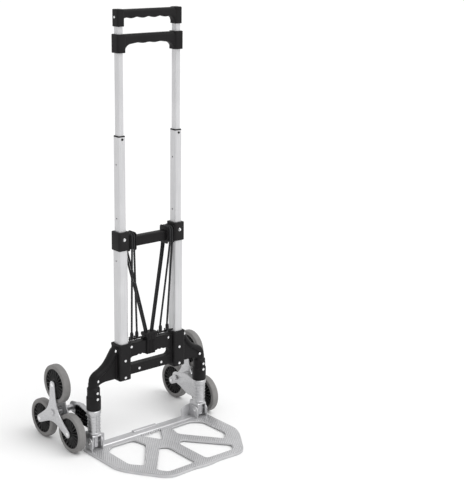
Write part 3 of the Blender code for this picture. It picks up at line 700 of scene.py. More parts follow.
def make_handles():
    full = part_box("inner_tube_right")[1].z
    make_handle("middle_handle", "middle_handle", 0.0210, ((0.0260, 0.0190), (0.0260, 0.0190)), 0.0008, full)
    make_handle("top_handle", "inner_stage", 0.0190, ((0.0035, 0.0030), (0.0160, 0.0140)), 0.0014, full + GAP)
    spots = [((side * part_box("top_handle")[1].x, 0.0016, 1.0080), (side, 0, 0)) for _, side in SIDES]
    fit(domes("top_handle_rivets", spots, 0.0030, 0.0010), "inner_stage", BRIGHT)


# ---------------------------------------------------------------- base housing

LEG_X = middle("leg_post_right").x
LEG_Y = middle("leg_post_right").y
BEAM_Y = (-0.0070, 0.0120)
BEAM_Z = (0.1710, 0.2480)
SLOT_Z = (0.1945, 0.2150)
SLOT_HALF_X = 0.0600
SOCKET_HALF = (0.0165, 0.0185)
SOCKET_Z = (0.1640, 0.2536)
ARM_PATH = ((0.0900, 0.2400), (0.0985, 0.2385), (0.1050, 0.2300), (0.1130, 0.2180), (0.1240, 0.2050),
            (0.1380, 0.1945), (0.1510, 0.1870), (0.1575, 0.1790), (0.1580, 0.1700), (0.1580, 0.1580))
BOOT_TIERS = ((0.1058, 0.1380, 0.0172), (0.1375, 0.1600, 0.0152), (0.1590, 0.1720, 0.0124))


def slot_outline():
    """The carrying slot: a flat bottom, round ends, and finger hollows along the top beside the clamp."""
    low, high = SLOT_Z
    radius = (high - low) / 2
    centre = (low + high) / 2
    reach = SLOT_HALF_X - radius
    top = []
    for sign in (1, -1):
        hollows = [(sign * x, high + 0.0022 * math.sin(math.pi * (x - 0.018) / 0.0105) ** 2)
                   for x in [0.018 + 0.0007 * i for i in range(31)]]
        top += reversed(hollows) if sign == 1 else hollows
    return arc((reach, centre), radius, -90, 90, 16) + top + arc((-reach, centre), radius, 90, 270, 16)


def web_outline(side):
    """The thinner web between the arm's round outer edge and the socket."""
    edge = TUBE_X + SOCKET_HALF[0] - 0.004
    points = [(edge, 0.2460), (0.1010, 0.2460), (0.1080, 0.2330), (0.1190, 0.2140), (0.1400, 0.1970),
              (0.1600, 0.1800), (0.1600, 0.1640), (0.1470, 0.1640), (0.1420, 0.1665), (0.1300, 0.1690),
              (edge, 0.1690)]
    return [(side * x, z) for x, z in points]


def arm_pipe(side):
    """The round outer edge of an arm, which turns down into the boot."""
    path = smooth_path([(side * x, 0.0030, z) for x, z in ARM_PATH], 0.0015)
    rings = []
    for i, point in enumerate(path):
        share = i / (len(path) - 1)
        along = (path[min(i + 1, len(path) - 1)] - path[max(i - 1, 0)]).normalized()
        across = along.cross(Vector((0, 1, 0))).normalized()
        width = 0.0080 + 0.0040 * max(0.0, share - 0.55) / 0.45
        rings.append([point + across * width * math.cos(a) + Vector((0, 0.0124 * math.sin(a), 0))
                      for a in [2 * math.pi * k / 28 for k in range(28)]])
    return skin("arm", rings)


def make_housing():
    low, high = BEAM_Z
    beam_face = rounded_polygon([(-0.068, low), (0.068, low), (0.068, high), (-0.068, high)], 0.002)
    pieces = [soften(prism("beam", [beam_face, slot_outline()], "Y", BEAM_Y), 0.0016, 2, 60)]
    face = BEAM_Y[0]
    for edge in (low + 0.0035, SLOT_Z[0] - 0.0040):
        pieces.append(bar("lip", (face - 0.0009, edge - 0.0016), (face + 0.004, edge + 0.0016), 0.0008,
                          "X", straight(-0.062, 0.062)))
    half_x, half_y = SOCKET_HALF
    for _, side in SIDES:
        x = side * TUBE_X
        pieces.append(bar("socket", (x - half_x, 0.001 - half_y), (x + half_x, 0.001 + half_y), 0.0040, "Z",
                          round_ends(SOCKET_Z[0], SOCKET_Z[1], 0.0015)))
        pieces.append(bar("rim", (x - half_x - 0.0008, 0.0002 - half_y),
                          (x + half_x + 0.0008, 0.0018 + half_y), 0.0046, "Z",
                          round_ends(SOCKET_Z[1] - 0.0060, SOCKET_Z[1], 0.0012)))
        pieces.append(prism("web", [web_outline(side)], "Y", (-0.0048, 0.0108)))
        pieces.append(arm_pipe(side))
        for bottom, top, radius in BOOT_TIERS:
            profile = [(z, radius - inset) for z, inset in round_ends(bottom, top, 0.0012)]
            pieces.append(turned("boot", [(bottom, 0.002)] + profile + [(top, 0.002)], "Z",
                                 (side * LEG_X, LEG_Y), 64))
        pieces.append(bar("pad", (side * LEG_X - 0.0062, LEG_Y - 0.0176), (side * LEG_X + 0.0062, LEG_Y),
                          0.0008, "Z", round_ends(0.1290, 0.1560, 0.0010)))
    housing = mould("base_housing_fine", pieces, 0.0010, 3)
    for tag, side in SIDES:
        seat_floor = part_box(f"outer_tube_{tag}")[0].z - GAP
        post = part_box(f"leg_post_{tag}")[1]
        bore = post.y - LEG_Y + GAP
        cut(housing, tube_seat(f"outer_tube_{tag}", (seat_floor, 0.27)),
            drill("Z", (side * LEG_X, LEG_Y), bore, (0.09, post.z + GAP), 64))
    fit(housing, "base", PLASTIC, "base_housing")


def make_rivets():
    front = (0, -1, 0)
    socket_face = 0.001 - SOCKET_HALF[1]
    spots = []
    for _, side in SIDES:
        spots += [((side * x, y, z), front) for x, y, z in
                  ((0.0800, socket_face, 0.2130), (0.0800, socket_face, 0.1710), (0.1010, -0.0092, 0.2400),
                   (0.0550, BEAM_Y[0], 0.2395), (0.0326, BEAM_Y[0], 0.1815), (0.1520, -0.0080, 0.1760),
                   (0.1580, -0.0146, 0.1500), (0.1580, -0.0146, 0.1350))]
    fit(domes("housing_rivets", spots, 0.0036, 0.0009), "base", BRIGHT)


# ---------------------------------------------------------------- legs

HINGE_Y = middle("hinge_pin_right").y
HINGE_Z = middle("hinge_pin_right").z
FOOT_OPEN = (0.0100, 0.0400)
KNUCKLE = (0.0052, 0.0130)
KNUCKLE_FRONT = -0.0055
PIN_R = 0.0029
CROWN = 0.0018                  # height of a hinge pin's round head


def make_post(tag, side):
    low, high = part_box(f"leg_post_{tag}")
    radius = high.y - LEG_Y
    profile = [(z, radius - inset) for z, inset in round_ends(low.z, high.z, 0.0008)]
    post = turned(f"leg_post_{tag}_fine", profile, "Z", (side * LEG_X, LEG_Y), 64)
    fit(post, "base", CHROME, f"leg_post_{tag}")


def make_foot(tag, side):
    """A channel-shaped foot, open at the front around the knuckle that the hinge pin passes."""
    low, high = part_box(f"leg_foot_{tag}")
    front, rear = low.y, high.y
    shape = rounded_polygon([(front, 0.0140), (front + 0.0035, 0.0095), (front + 0.0080, low.z),
                             (rear - 0.0045, low.z), (rear, 0.0110), (rear, high.z),
                             (front + 0.0035, high.z), (front, 0.0420)], 0.002)
    foot = soften(prism(f"leg_foot_{tag}_fine", [shape], "X", (low.x, high.x)), 0.0016, 3, 60)
    half, top = FOOT_OPEN
    knuckle, bottom = KNUCKLE
    recess = [(-half, 0.0), (half, 0.0), (half, top), (-half, top)]
    around = [(knuckle, top), (knuckle, bottom), (-knuckle, bottom), (-knuckle, top)]
    for outline, depth in ((recess, KNUCKLE_FRONT), (recess[:3] + around + recess[3:], 0.0080)):
        cut(foot, prism("cutter", [[(side * LEG_X + x, z) for x, z in outline]], "Y", (-0.0200, depth)))
    cut(foot, drill("X", (HINGE_Y, HINGE_Z), PIN_R + GAP, (low.x - 0.01, high.x + 0.01), 32))
    soften(foot, 0.0004, 2, 60)
    fit(foot, "base", ZINC, f"leg_foot_{tag}")


def make_hinge_pin(tag, side):
    low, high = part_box(f"hinge_pin_{tag}")
    head = (high.z - low.z) / 2
    reach = (high.x - low.x) / 2
    start = reach - CROWN
    crown = [(start + CROWN * math.sin(a), head * math.cos(a)) for a in quarter(6)[:-1]]
    half_pin = [(start, PIN_R), (start, head - 0.0003)] + crown
    profile = [(side * LEG_X - t, r) for t, r in reversed(half_pin)]
    profile += [(side * LEG_X + t, r) for t, r in half_pin]
    pin = turned(f"hinge_pin_{tag}_fine", profile, "X", (HINGE_Y, HINGE_Z), 36)
    fit(pin, "base", BRIGHT, f"hinge_pin_{tag}")


def make_legs():
    for tag, side in SIDES:
        make_post(tag, side)
        make_foot(tag, side)
        make_hinge_pin(tag, side)


# ---------------------------------------------------------------- toe plate

PLATE_TOP = 0.0065
WEB_BOTTOM = 0.0025
BEAM_TOP = 0.0085
BUMP_HALF_X = 0.0350
PLATE_HALF_X = 0.1800
PLATE_REAR = 0.0245
PLATE_FRONT = -0.2300
RIM_WIDTH = 0.0060
OPENING_ROUND = 0.0100          # rounding of the plate's openings
EAR_INNER = 0.0135
EAR_THICK = 0.0028
EAR_R = 0.0115
EAR_TOP = 0.0360                # top of the gusset behind each inner ear
RIDGE_PITCH = 0.0044
RIDGE_WIDTH = 0.0020
RIDGE_HEIGHT = 0.0009
RIDGE_LEAN = 58                 # degrees from the X axis
RIDGE_MARGIN = 0.0030


def plate_outline(inset=0.0):
    half = PLATE_HALF_X - inset
    rear, front = PLATE_REAR - inset, PLATE_FRONT + inset
    corners = mirrored([(0.1745 - inset, rear), (half, rear - 0.0080), (half, -0.1150),
                        (0.1700 - inset, -0.1400), (0.1520 - inset, -0.1680),
                        (0.1200 - inset, front + 0.0160), (0.1080 - inset, front + 0.0060),
                        (0.0920 - inset, front + 0.0020),
                        (0.0640, front + 0.0035), (0.0320, front + 0.0045), (0.0140, front + 0.0005)])
    return rounded_polygon(corners, 0.012)


def plate_openings():
    side_opening = [(0.0570, -0.0140), (0.1200, -0.0130), (0.1430, -0.0330), (0.1450, -0.1180),
                    (0.1200, -0.1455), (0.0480, -0.0540)]
    front_opening = [(0.0150, -0.0985), (0.0330, -0.0860), (0.1120, -0.1805), (0.0965, -0.2045),
                     (0.0160, -0.2035)]
    loops = [rounded_polygon([(-0.0350, -0.0010), (0.0350, -0.0010), (0.0, -0.0580)], OPENING_ROUND)]
    for _, side in SIDES:
        for shape in (side_opening, front_opening):
            loops.append(rounded_polygon([(side * x, y) for x, y in shape], OPENING_ROUND))
    return loops


def crossings(loops, start, along):
    """How far along a line each edge of the loops crosses it, in order."""
    across = Vector((-along.y, along.x))
    found = []
    for loop in loops:
        points = [Vector(p) - start for p in loop]
        for a, b in zip(points, points[1:] + points[:1]):
            da, db = a.dot(across), b.dot(across)
            if (da < 0) != (db < 0):
                found.append((a + (b - a) * da / (da - db)).dot(along))
    return sorted(found)


def make_ridges():
    """The anti-slip ridges: parallel ribs on the plate's flat top, stopping short of every edge."""
    lean = math.radians(RIDGE_LEAN)
    along = Vector((math.cos(lean), math.sin(lean)))
    across = Vector((-along.y, along.x))
    flat = [[(x, min(y, -0.0140)) for x, y in plate_outline(RIDGE_MARGIN)]] + plate_openings()
    bm = bmesh.new()
    count = int(0.30 / RIDGE_PITCH)
    for k in range(-count, count + 1):
        start = Vector((0.0, -0.100)) + across * k * RIDGE_PITCH
        ends = crossings(flat, start, along)
        for a, b in zip(ends[::2], ends[1::2]):
            if b - a < 2 * RIDGE_MARGIN + 0.002:
                continue
            rings = []
            for t, size in ((a + RIDGE_MARGIN * 0.7, 0.3), (a + RIDGE_MARGIN, 1.0), (b - RIDGE_MARGIN, 1.0),
                            (b - RIDGE_MARGIN * 0.7, 0.3)):
                foot = start + along * t
                rings.append([(*(foot + across * RIDGE_WIDTH * w), PLATE_TOP + h * size)
                              for w, h in ((-0.5, -0.0003), (0.5, -0.0003), (0.25, RIDGE_HEIGHT),
                                           (-0.25, RIDGE_HEIGHT))])
            loops = [[bm.verts.new(p) for p in ring] for ring in rings]
            for one, two in zip(loops, loops[1:]):
                for i in range(4):
                    j = (i + 1) % 4
                    bm.faces.new((one[i], one[j], two[j], two[i]))
            bm.faces.new(loops[0])
            bm.faces.new(loops[-1])
    # The ridges take the lighter aluminium, a painted highlight on the plate's own metal.
    fit(make("toe_plate_ridges", bm), "toe_plate", RIDGE_HIGHLIGHT)


def ear_outlines():
    """Side views of the inner ear, which runs back to its gusset, and of the outer ear round the pin."""
    front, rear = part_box("leg_foot_right")[0].y - 0.0020, PLATE_REAR - 0.0005
    inner = [(front, 0.0040), (rear, 0.0040), (rear, EAR_TOP)] + arc((HINGE_Y, HINGE_Z), EAR_R, 80, 190, 18)
    outer = [(front, 0.0040), (0.0150, 0.0040)] + arc((HINGE_Y, HINGE_Z), EAR_R, -10, 190, 20)
    return inner, outer


def make_toe_plate():
    plate = prism("toe_plate_fine", [plate_outline()] + plate_openings(), "Z", (0.0, PLATE_TOP))
    cut(plate, prism("pocket", [plate_outline(RIM_WIDTH)], "Z", (-0.010, WEB_BOTTOM)))
    soften(plate, 0.0007, 3, 50)
    rear = PLATE_REAR - 0.0003
    profile = [(-0.0015, 0.0), (rear, 0.0), (rear, BEAM_TOP - 0.0020), (rear - 0.0020, BEAM_TOP),
               (0.0010, BEAM_TOP), (-0.0015, BEAM_TOP - 0.0020)]
    add(plate, soften(prism("beam", [profile], "X", (-0.136, 0.136)), 0.0005, 2, 30),
        bar("bump", (0.0130, 0.0036), (0.0240, 0.0116), 0.0020, "X",
            round_ends(-BUMP_HALF_X, BUMP_HALF_X, 0.0010)))
    for _, side in SIDES:
        for toward, outline in zip((-side, side), ear_outlines()):
            near = side * LEG_X + toward * EAR_INNER
            ear = prism("ear", [outline], "X", (near, near + toward * EAR_THICK))
            add(plate, soften(ear, 0.0006, 2, 60))
        flange = [(side * x, z) for x, z in
                  ((0.1170, 0.0060), (0.1430, 0.0060), (0.1430, EAR_TOP - 0.0005),
                   (0.1320, EAR_TOP - 0.0020), (0.1170, EAR_TOP - 0.0080))]
        gusset = prism("gusset", [flange], "Y", (PLATE_REAR - 0.0038, PLATE_REAR - 0.0008))
        add(plate, soften(gusset, 0.0005, 2, 60))
        cut(plate, drill("X", (HINGE_Y, HINGE_Z), PIN_R + GAP,
                         (side * LEG_X - 0.025, side * LEG_X + 0.025), 32))
    fit(plate, "toe_plate", CAST, "toe_plate")
    make_ridges()


# ---------------------------------------------------------------- wheel clusters

AXLE_Y = middle("cluster_axle_right").y
AXLE_Z = middle("cluster_axle_right").z
ARM_LENGTH = middle("tyre_right_top").z - AXLE_Z
WHEEL_X = middle("tyre_right_top").x
WHEEL_R = (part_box("tyre_right_top")[1].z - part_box("tyre_right_top")[0].z) / 2
OUTER_SPIDER_X = (0.2118, 0.2147)
SPIDER_TIP_R = 0.0094
VALLEY = 0.0178
WHEEL_PIN_R = 0.0038
CLUSTER_AXLE_R = 0.0040
FINS = 20
FIN_STATIONS = ((0.0092, 0.0090, 0.0007), (0.0180, 0.0074, 0.0006), (0.0350, 0.0074, 0.0007))
BRACKET_PLATE_X = (0.1545, 0.1575)
POST_SEAT_R = 0.0115
SLEEVE_R = 0.0145
SLEEVE_RIB_R = 0.0156
SLEEVE_RIBS = (0.0580, 0.0660, 0.0740, 0.0820, 0.0900)      # heights of the ribs round a bracket's sleeve


def wheel_centre(angle):
    a = math.radians(angle)
    return (AXLE_Y + ARM_LENGTH * math.cos(a), AXLE_Z + ARM_LENGTH * math.sin(a))


def spider_outline():
    """Three arms with round tips, joined by wide concave curves."""
    points = []
    for k in range(3):
        angle = 90 + 120 * k
        tip = arc(wheel_centre(angle), SPIDER_TIP_R, angle - 84, angle + 84, 18)
        next_tip = arc(wheel_centre(angle + 120), SPIDER_TIP_R, angle + 36, angle + 37, 1)[0]
        a = math.radians(angle + 60)
        valley = Vector((AXLE_Y + VALLEY * math.cos(a), AXLE_Z + VALLEY * math.sin(a)))
        points += tip
        start, end = Vector(tip[-1]).lerp(valley, 0.55), Vector(next_tip).lerp(valley, 0.55)
        for s in range(11):
            t = s / 10
            points.append(tuple(start * (1 - t) ** 2 + valley * 2 * t * (1 - t) + end * t ** 2))
    return points


def hex_nut(name, low, high, across, centre):
    bolt = prism(name, [[(y, z) for y, z in arc(centre, across, 0, 300, 5)]], "X", (low, high))
    return soften(bolt, 0.0005, 2, 30)


def make_spiders(tag, side):
    body = f"cluster_{tag}"
    hole = circle((AXLE_Y, AXLE_Z), CLUSTER_AXLE_R + GAP, 32)
    pin_holes = [circle(wheel_centre(angle), WHEEL_PIN_R + GAP, 24) for _, angle in WHEEL_ANGLES]
    low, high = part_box(f"spider_inner_{tag}")
    inner = prism(f"spider_inner_{tag}_fine", [spider_outline(), hole] + pin_holes, "X", (low.x, high.x))
    fit(soften(inner, 0.0006, 3, 50), body, ZINC, f"spider_inner_{tag}")

    inner_face, outer_face = (side * x for x in OUTER_SPIDER_X)
    outer = prism(f"spider_outer_{tag}_fine", [spider_outline(), hole], "X", (inner_face, outer_face))
    soften(outer, 0.0006, 3, 50)
    bore = CLUSTER_AXLE_R + GAP
    boss = [(outer_face + side * t, r) for t, r in ((-0.0010, 0.0125), (0.0001, 0.0125), (0.0002, 0.0120),
                                                    (0.0002, bore), (-0.0010, bore))]
    add(outer, turned("boss", boss, "X", (AXLE_Y, AXLE_Z), 48, closed=True))
    fit(outer, body, ZINC, f"spider_outer_{tag}")

    pins = []
    for _, angle in WHEEL_ANGLES:
        start = side * (abs(middle(f"spider_inner_{tag}").x) - 0.0023)
        shoulder = inner_face + side * 0.0008
        shank = [(start, 0.0030), (start, WHEEL_PIN_R), (shoulder, WHEEL_PIN_R)]
        crown = [(outer_face + side * 0.0014 * math.sin(a), 0.0052 * math.cos(a))
                 for a in quarter(6)[:-1]]
        pins.append(turned("pin", shank + [(shoulder, 0.0052)] + crown, "X", wheel_centre(angle), 32))
    fit(merge(f"wheel_pins_{tag}", pins), body, BRIGHT)

    low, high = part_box(f"axle_spacer_{tag}")
    outside = (high.z - low.z) / 2
    wall = [(low.x, bore), (low.x, outside - 0.0004), (low.x + 0.0004, outside),
            (high.x - 0.0004, outside), (high.x, outside - 0.0004), (high.x, bore)]
    spacer = turned(f"axle_spacer_{tag}_fine", wall, "X", (AXLE_Y, AXLE_Z), 48, closed=True)
    fit(spacer, body, ZINC, f"axle_spacer_{tag}")


def tyre_profile():
    """A solid tyre: round shoulders, a fine line between tread and sidewall, and a shallow crown."""
    low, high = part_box("tyre_right_top")
    half = (high.x - low.x) / 2
    side = [(half - 0.0015, 0.0366), (half - 0.0005, 0.0373), (half, 0.0384), (half, 0.0424),
            (half - 0.0004, 0.0428), (half - 0.0003, 0.0434)]
    shoulder = [(half - 0.0033 + 0.0030 * math.cos(a), 0.0437 + 0.0030 * math.sin(a))
                for a in quarter(6)[1:-1]]
    crown = [(half - 0.0042, WHEEL_R - 0.0002), (half * 0.3, WHEEL_R)]
    right = side + shoulder + crown
    return [(-t, r) for t, r in right] + list(reversed(right))


def wheel_hub():
    """A moulded hub: bearing boss, thin web, the seat for the tyre, and its radial fins on both faces."""
    bore = WHEEL_PIN_R + 2 * GAP
    profile = [(-0.0095, bore), (-0.0095, 0.0086), (-0.0089, 0.0092), (-0.0025, 0.0112), (-0.0025, 0.0318),
               (-0.0062, 0.0346), (-0.0076, 0.0352), (-0.0076, 0.0362), (0.0076, 0.0362), (0.0076, 0.0352),
               (0.0062, 0.0346), (0.0025, 0.0318), (0.0025, 0.0112), (0.0089, 0.0092), (0.0095, 0.0086),
               (0.0095, bore)]
    hub = turned("rim_fine", profile, "X", (0, 0), 80, closed=True)
    fins = []
    for k in range(FINS):
        a = 2 * math.pi * (k + 0.5) / FINS
        out = Vector((0, math.cos(a), math.sin(a)))
        over = Vector((0, -math.sin(a), math.cos(a)))
        rings = []
        for radius, depth, half in FIN_STATIONS:
            rings.append([out * radius + over * half * w + Vector((depth * t, 0, 0))
                          for w, t in ((-1, -0.96), (-0.5, -1), (0.5, -1), (1, -0.96),
                                       (1, 0.96), (0.5, 1), (-0.5, 1), (-1, 0.96))])
        fins.append(skin("fin", rings))
    return hub, merge("fins_fine", fins)


def make_wheels():
    first_tyre = turned("tyre_fine", tyre_profile(), "X", (0, 0), 128, closed=True)
    first_hub, first_fins = wheel_hub()
    for tag, side in SIDES:
        for place, angle in WHEEL_ANGLES:
            y, z = wheel_centre(angle)
            # The fins wear the lighter fin material, a painted highlight on the hub's own plastic.
            for kind, first, material in (("tyre", first_tyre, TYRE), ("rim", first_hub, HUB),
                                          ("fins", first_fins, FIN_HIGHLIGHT)):
                node = f"{kind}_{tag}_{place}"
                piece = bpy.data.objects.new(f"{node}_fine", first.data.copy())
                bpy.context.scene.collection.objects.link(piece)
                piece.data.transform(Matrix.Translation((side * WHEEL_X, y, z)))
                fit(piece, f"wheel_{tag}_{place}", material, *([] if kind == "fins" else [node]))
    drop([first_tyre, first_hub, first_fins])


def make_bracket(tag, side):
    """A rolled sleeve that turns on the leg post, and the ribbed plate that carries the cluster axle."""
    low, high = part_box(f"wheel_bracket_{tag}")
    inner = POST_SEAT_R + 2 * GAP
    profile = [(low.z, inner), (low.z, 0.0154), (low.z + 0.0004, 0.0158), (0.0496, 0.0158), (0.0500, 0.0154),
               (0.0505, SLEEVE_R)]
    for rib in SLEEVE_RIBS:
        profile += [(rib - 0.0016, SLEEVE_R), (rib - 0.0011, SLEEVE_RIB_R), (rib + 0.0011, SLEEVE_RIB_R),
                    (rib + 0.0016, SLEEVE_R)]
    profile += [(0.0955, SLEEVE_R), (0.0960, 0.0164), (0.0966, 0.0170), (0.1040, 0.0170),
               (0.1050, 0.0162), (high.z, inner)]
    bracket = turned(f"wheel_bracket_{tag}_fine", profile, "Z", (side * LEG_X, LEG_Y), 96, closed=True)
    start = LEG_Y + 0.0128
    eye = arc((AXLE_Y, AXLE_Z), 0.0145, 80, -95, 20)
    outline = [(start, 0.0510), (start, 0.0950), (0.0500, 0.1030)] + eye
    outline += [(0.0760, 0.0640), (0.0480, 0.0520)]
    near, far = (side * x for x in BRACKET_PLATE_X)
    plate = prism("plate", [outline, circle((AXLE_Y, AXLE_Z), CLUSTER_AXLE_R + GAP, 32)], "X", (near, far))
    soften(plate, 0.0005, 2, 50)
    flange = [(start, 0.0925), (0.0500, 0.1010), (0.0700, 0.0995), (0.0700, 0.1020), (0.0500, 0.1035),
              (start, 0.0950)]
    shelf = soften(prism("flange", [flange], "X", (side * 0.1550, side * 0.1680)), 0.0004, 2, 50)
    add(bracket, plate, shelf)
    seam_turn = math.radians(-100 if side < 0 else -80)
    seam_x = side * LEG_X + SLEEVE_R * math.cos(seam_turn)
    seam_y = LEG_Y + SLEEVE_R * math.sin(seam_turn)
    seam = bar("seam", (seam_x - 0.0004, seam_y - 0.0012), (seam_x + 0.0004, seam_y + 0.0012), 0.0002, "Z",
               straight(0.0502, 0.0958))
    cut(bracket, seam, drill("Z", (side * LEG_X, LEG_Y), inner, (0.04, 0.11), 96))
    fit(bracket, f"bracket_{tag}", ZINC, f"wheel_bracket_{tag}")
    # The black moulding on the plate's wheel side is painted shade for the gap by the wheels.
    make_bracket_painted_shade(tag, side, far)


def make_bracket_painted_shade(tag, side, face):
    """A black ribbed moulding riveted to the wheel side of the bracket plate: painted shade for the dark gap
    between the plate and the wheels.
    """
    corners = [(0.0185, 0.0530), (0.0480, 0.0540), (0.0745, 0.0655), (0.0745, 0.0940), (0.0500, 0.0995),
               (0.0185, 0.0915)]
    outline = rounded_polygon(corners, 0.003, 4)
    centre = sum((Vector(c) for c in corners), Vector((0, 0))) / len(corners)
    hole = rounded_polygon([tuple(centre + (Vector(c) - centre) * 0.90) for c in corners], 0.003, 4)
    tip = face + side * 0.0060
    shade_piece = prism(f"bracket_painted_shade_{tag}", [outline, hole], "X", (face, tip))
    near, far = min(face, tip), max(face, tip)
    depth = straight(near, far - 0.0006)
    ribs = [bar("rib", (y - 0.0007, 0.0500), (y + 0.0007, 0.1010), 0.0004, "X", depth)
            for y in (0.0275, 0.0370, 0.0465, 0.0560, 0.0655)]
    ribs += [bar("rib", (0.0180, z - 0.0007), (0.0760, z + 0.0007), 0.0004, "X", depth)
             for z in (0.0640, 0.0740, 0.0840)]
    lattice = add(prism("floor", [outline], "X", (face, face + side * 0.0012)), *ribs)
    combine(lattice, [prism("limit", [outline], "X", (near - 0.001, far + 0.001))], "INTERSECT")
    add(shade_piece, lattice)
    fit(shade_piece, f"bracket_{tag}", PLASTIC)
    spots = [((face + side * 0.0056, y, z), (side, 0, 0)) for y, z in ((0.0275, 0.0840), (0.0560, 0.0640))]
    fit(domes(f"bracket_rivets_{tag}", spots, 0.0030, 0.0010), f"bracket_{tag}", BRIGHT)


def make_cluster_axle(tag, side):
    """A bolt: hex head inside the bracket plate, a thicker shank out to the inner spider, washer and nut."""
    centre = (AXLE_Y, AXLE_Z)
    seat = abs(middle(f"spider_inner_{tag}").x) - 0.00175
    end = OUTER_SPIDER_X[1] + 0.0030
    stations = ((0.1535, CLUSTER_AXLE_R), (0.1579, CLUSTER_AXLE_R), (0.1579, 0.0071), (0.1583, 0.0075),
                (seat - 0.0004, 0.0075), (seat, 0.0071), (seat, CLUSTER_AXLE_R),
                (end - 0.0005, CLUSTER_AXLE_R), (end, CLUSTER_AXLE_R - 0.0005))
    shank = turned("shank", [(side * t, r) for t, r in stations], "X", centre, 48)
    head = hex_nut("head", side * 0.1500, side * 0.1541, 0.0072, centre)
    plate = OUTER_SPIDER_X[1] + 0.0004
    nut = hex_nut("nut", side * (plate + 0.0005), side * (end - 0.0002), 0.0078, centre)
    disc = ((0.0, 0.0092), (0.0001, 0.0095), (0.0006, 0.0095), (0.0008, 0.0092))
    washer = turned("washer", [(side * (plate + t), r) for t, r in disc], "X", centre, 40)
    axle = merge(f"cluster_axle_{tag}_fine", [shank, head, nut, washer])
    fit(axle, f"bracket_{tag}", ZINC, f"cluster_axle_{tag}")


# ---------------------------------------------------------------- elastic cords

CLAMP_TOP = 0.2660
CORD_D = 0.0050
CORD_PITCH = 0.0062
SADDLE_X = 0.0549
HOOK_TOP = 0.2785
HOOK_Y = -0.0145
ANCHOR_Y = -0.0095
ANCHOR_Z = 0.2600
ANCHOR_REACH = 0.0650
ROD_R = 0.0022
HOOKS = (("left_outer", -1, 1, -0.0600), ("left_inner", -1, -1, -0.0455),
         ("right_inner", 1, -1, 0.0240), ("right_outer", 1, 1, 0.0440))
CORD_SIDES = 16
STRAND_LENGTH = 0.0065          # along the cord, for a strand to go once round


def make_clamp():
    """The clamp grips the top rail of the base: a ribbed body, a flared head and the rod for the hooks."""
    rail = [(BEAM_Y[0] - GAP, SLOT_Z[1] - GAP), (BEAM_Y[1] + GAP, BEAM_Z[1] + GAP)]
    front, rear, low, high = BEAM_Y[0] - 0.0030, BEAM_Y[1] + 0.0030, SLOT_Z[1] - 0.0030, BEAM_Z[1] + 0.0035
    body = bar("cord_clamp_fine", (front, low), (rear, high), 0.0012, "X",
               round_ends(-0.0125, 0.0125, 0.0010))
    cut(body, bar("rail", *rail, 0.0003, "X", straight(-0.02, 0.02)))
    head = [(-0.0120, 0.2490), (0.0120, 0.2490), (0.0130, 0.2530), (0.0175, 0.2590), (0.0175, CLAMP_TOP),
            (-0.0175, CLAMP_TOP), (-0.0175, 0.2590), (-0.0130, 0.2530)]
    flare = prism("head", [rounded_polygon(head, 0.0020, 4)], "Y", (-0.0130, 0.0085))
    add(body, soften(flare, 0.0010, 3, 60))
    places = (-0.0088, -0.0044, 0.0, 0.0044, 0.0088)
    ribs = [bar("rib", (x - 0.0010, -0.0140), (x + 0.0010, -0.0120), 0.0006, "Z",
                round_ends(0.2510, 0.2590 + abs(x) * 0.3, 0.0005, 2)) for x in places]
    lower = [bar("rib", (x - 0.0010, front - 0.0010), (x + 0.0010, front + 0.0010), 0.0006, "Z",
                 round_ends(low + 0.0015, high - 0.0015, 0.0005, 2)) for x in places]
    stations = round_ends(-ANCHOR_REACH, ANCHOR_REACH, 0.0008)
    rod = turned("rod", [(x, ROD_R - inset) for x, inset in stations], "X", (ANCHOR_Y, ANCHOR_Z), 24)
    add(body, rod, *ribs, *lower)
    fit(body, "base", PLASTIC, "cord_clamp")


def make_hooks():
    """A ribbed ferrule on the cord's end, and a blackened J-shaped wire that catches under the rod."""
    for name, _, _, x in HOOKS:
        centre = (x, HOOK_Y)
        foot = HOOK_TOP - 0.0170
        profile = [(foot, 0.0018), (foot + 0.0005, 0.0028), (foot + 0.0030, 0.0040)]
        for k in range(4):
            z = foot + 0.0038 + 0.0026 * k
            profile += [(z, 0.0042), (z + 0.0014, 0.0042), (z + 0.0017, 0.0037), (z + 0.0023, 0.0037)]
        profile += [(HOOK_TOP - 0.0020, 0.0041), (HOOK_TOP - 0.0006, 0.0036), (HOOK_TOP, 0.0030)]
        ferrule = turned(f"cord_hook_{name}_ferrule", profile, "Z", centre, 28)
        fit(ferrule, "base", PLASTIC, f"cord_hook_{name}")
        radius = ANCHOR_Y - HOOK_Y
        bend = arc((ANCHOR_Y, ANCHOR_Z), radius, 180, 360, 12)
        line = [(HOOK_Y, HOOK_TOP - 0.0130)] + bend + [(HOOK_Y + 2 * radius, ANCHOR_Z + 0.0050)]
        hook = wire(f"cord_hook_{name}_wire", [Vector((x, y, z)) for y, z in line], 0.0016)
        fit(hook, "base", DARK)


def cord_route(side, order, hook_x):
    """From the clamp up behind the crossbar, over the saddle and down in front to the hook."""
    lift = CORD_D / 2 + 2 * GAP
    reach = SADDLE_CORE[0] + lift
    bend = (SADDLE_CORE[0] - SADDLE_ROUND, SADDLE_CORE[2] - SADDLE_ROUND)
    up = arc(bend, SADDLE_ROUND + lift, 0, 90, 3)
    down = [(-y, z) for y, z in reversed(up)]
    over = side * (SADDLE_X + order * CORD_PITCH / 2)
    start = side * (0.0095 + order * 0.0028)
    route = [(start, 0.0, CLAMP_TOP + GAP), (start, 0.0, CLAMP_TOP + 0.006),
             (start * 0.6 + over * 0.4, 0.0055, 0.355), (start * 0.15 + over * 0.85, 0.0125, 0.445),
             (over - side * 0.0004, reach + 0.0006, 0.476), (over, reach, 0.495)]
    route += [(over, y, z) for y, z in up + down]
    route += [(over, -reach, 0.495), (over * 0.98 + hook_x * 0.02, -reach - 0.0003, 0.476),
              ((over + hook_x) / 2, (HOOK_Y - reach) / 2, 0.380), (hook_x, HOOK_Y, HOOK_TOP + 0.006),
              (hook_x, HOOK_Y, HOOK_TOP + GAP)]
    return route


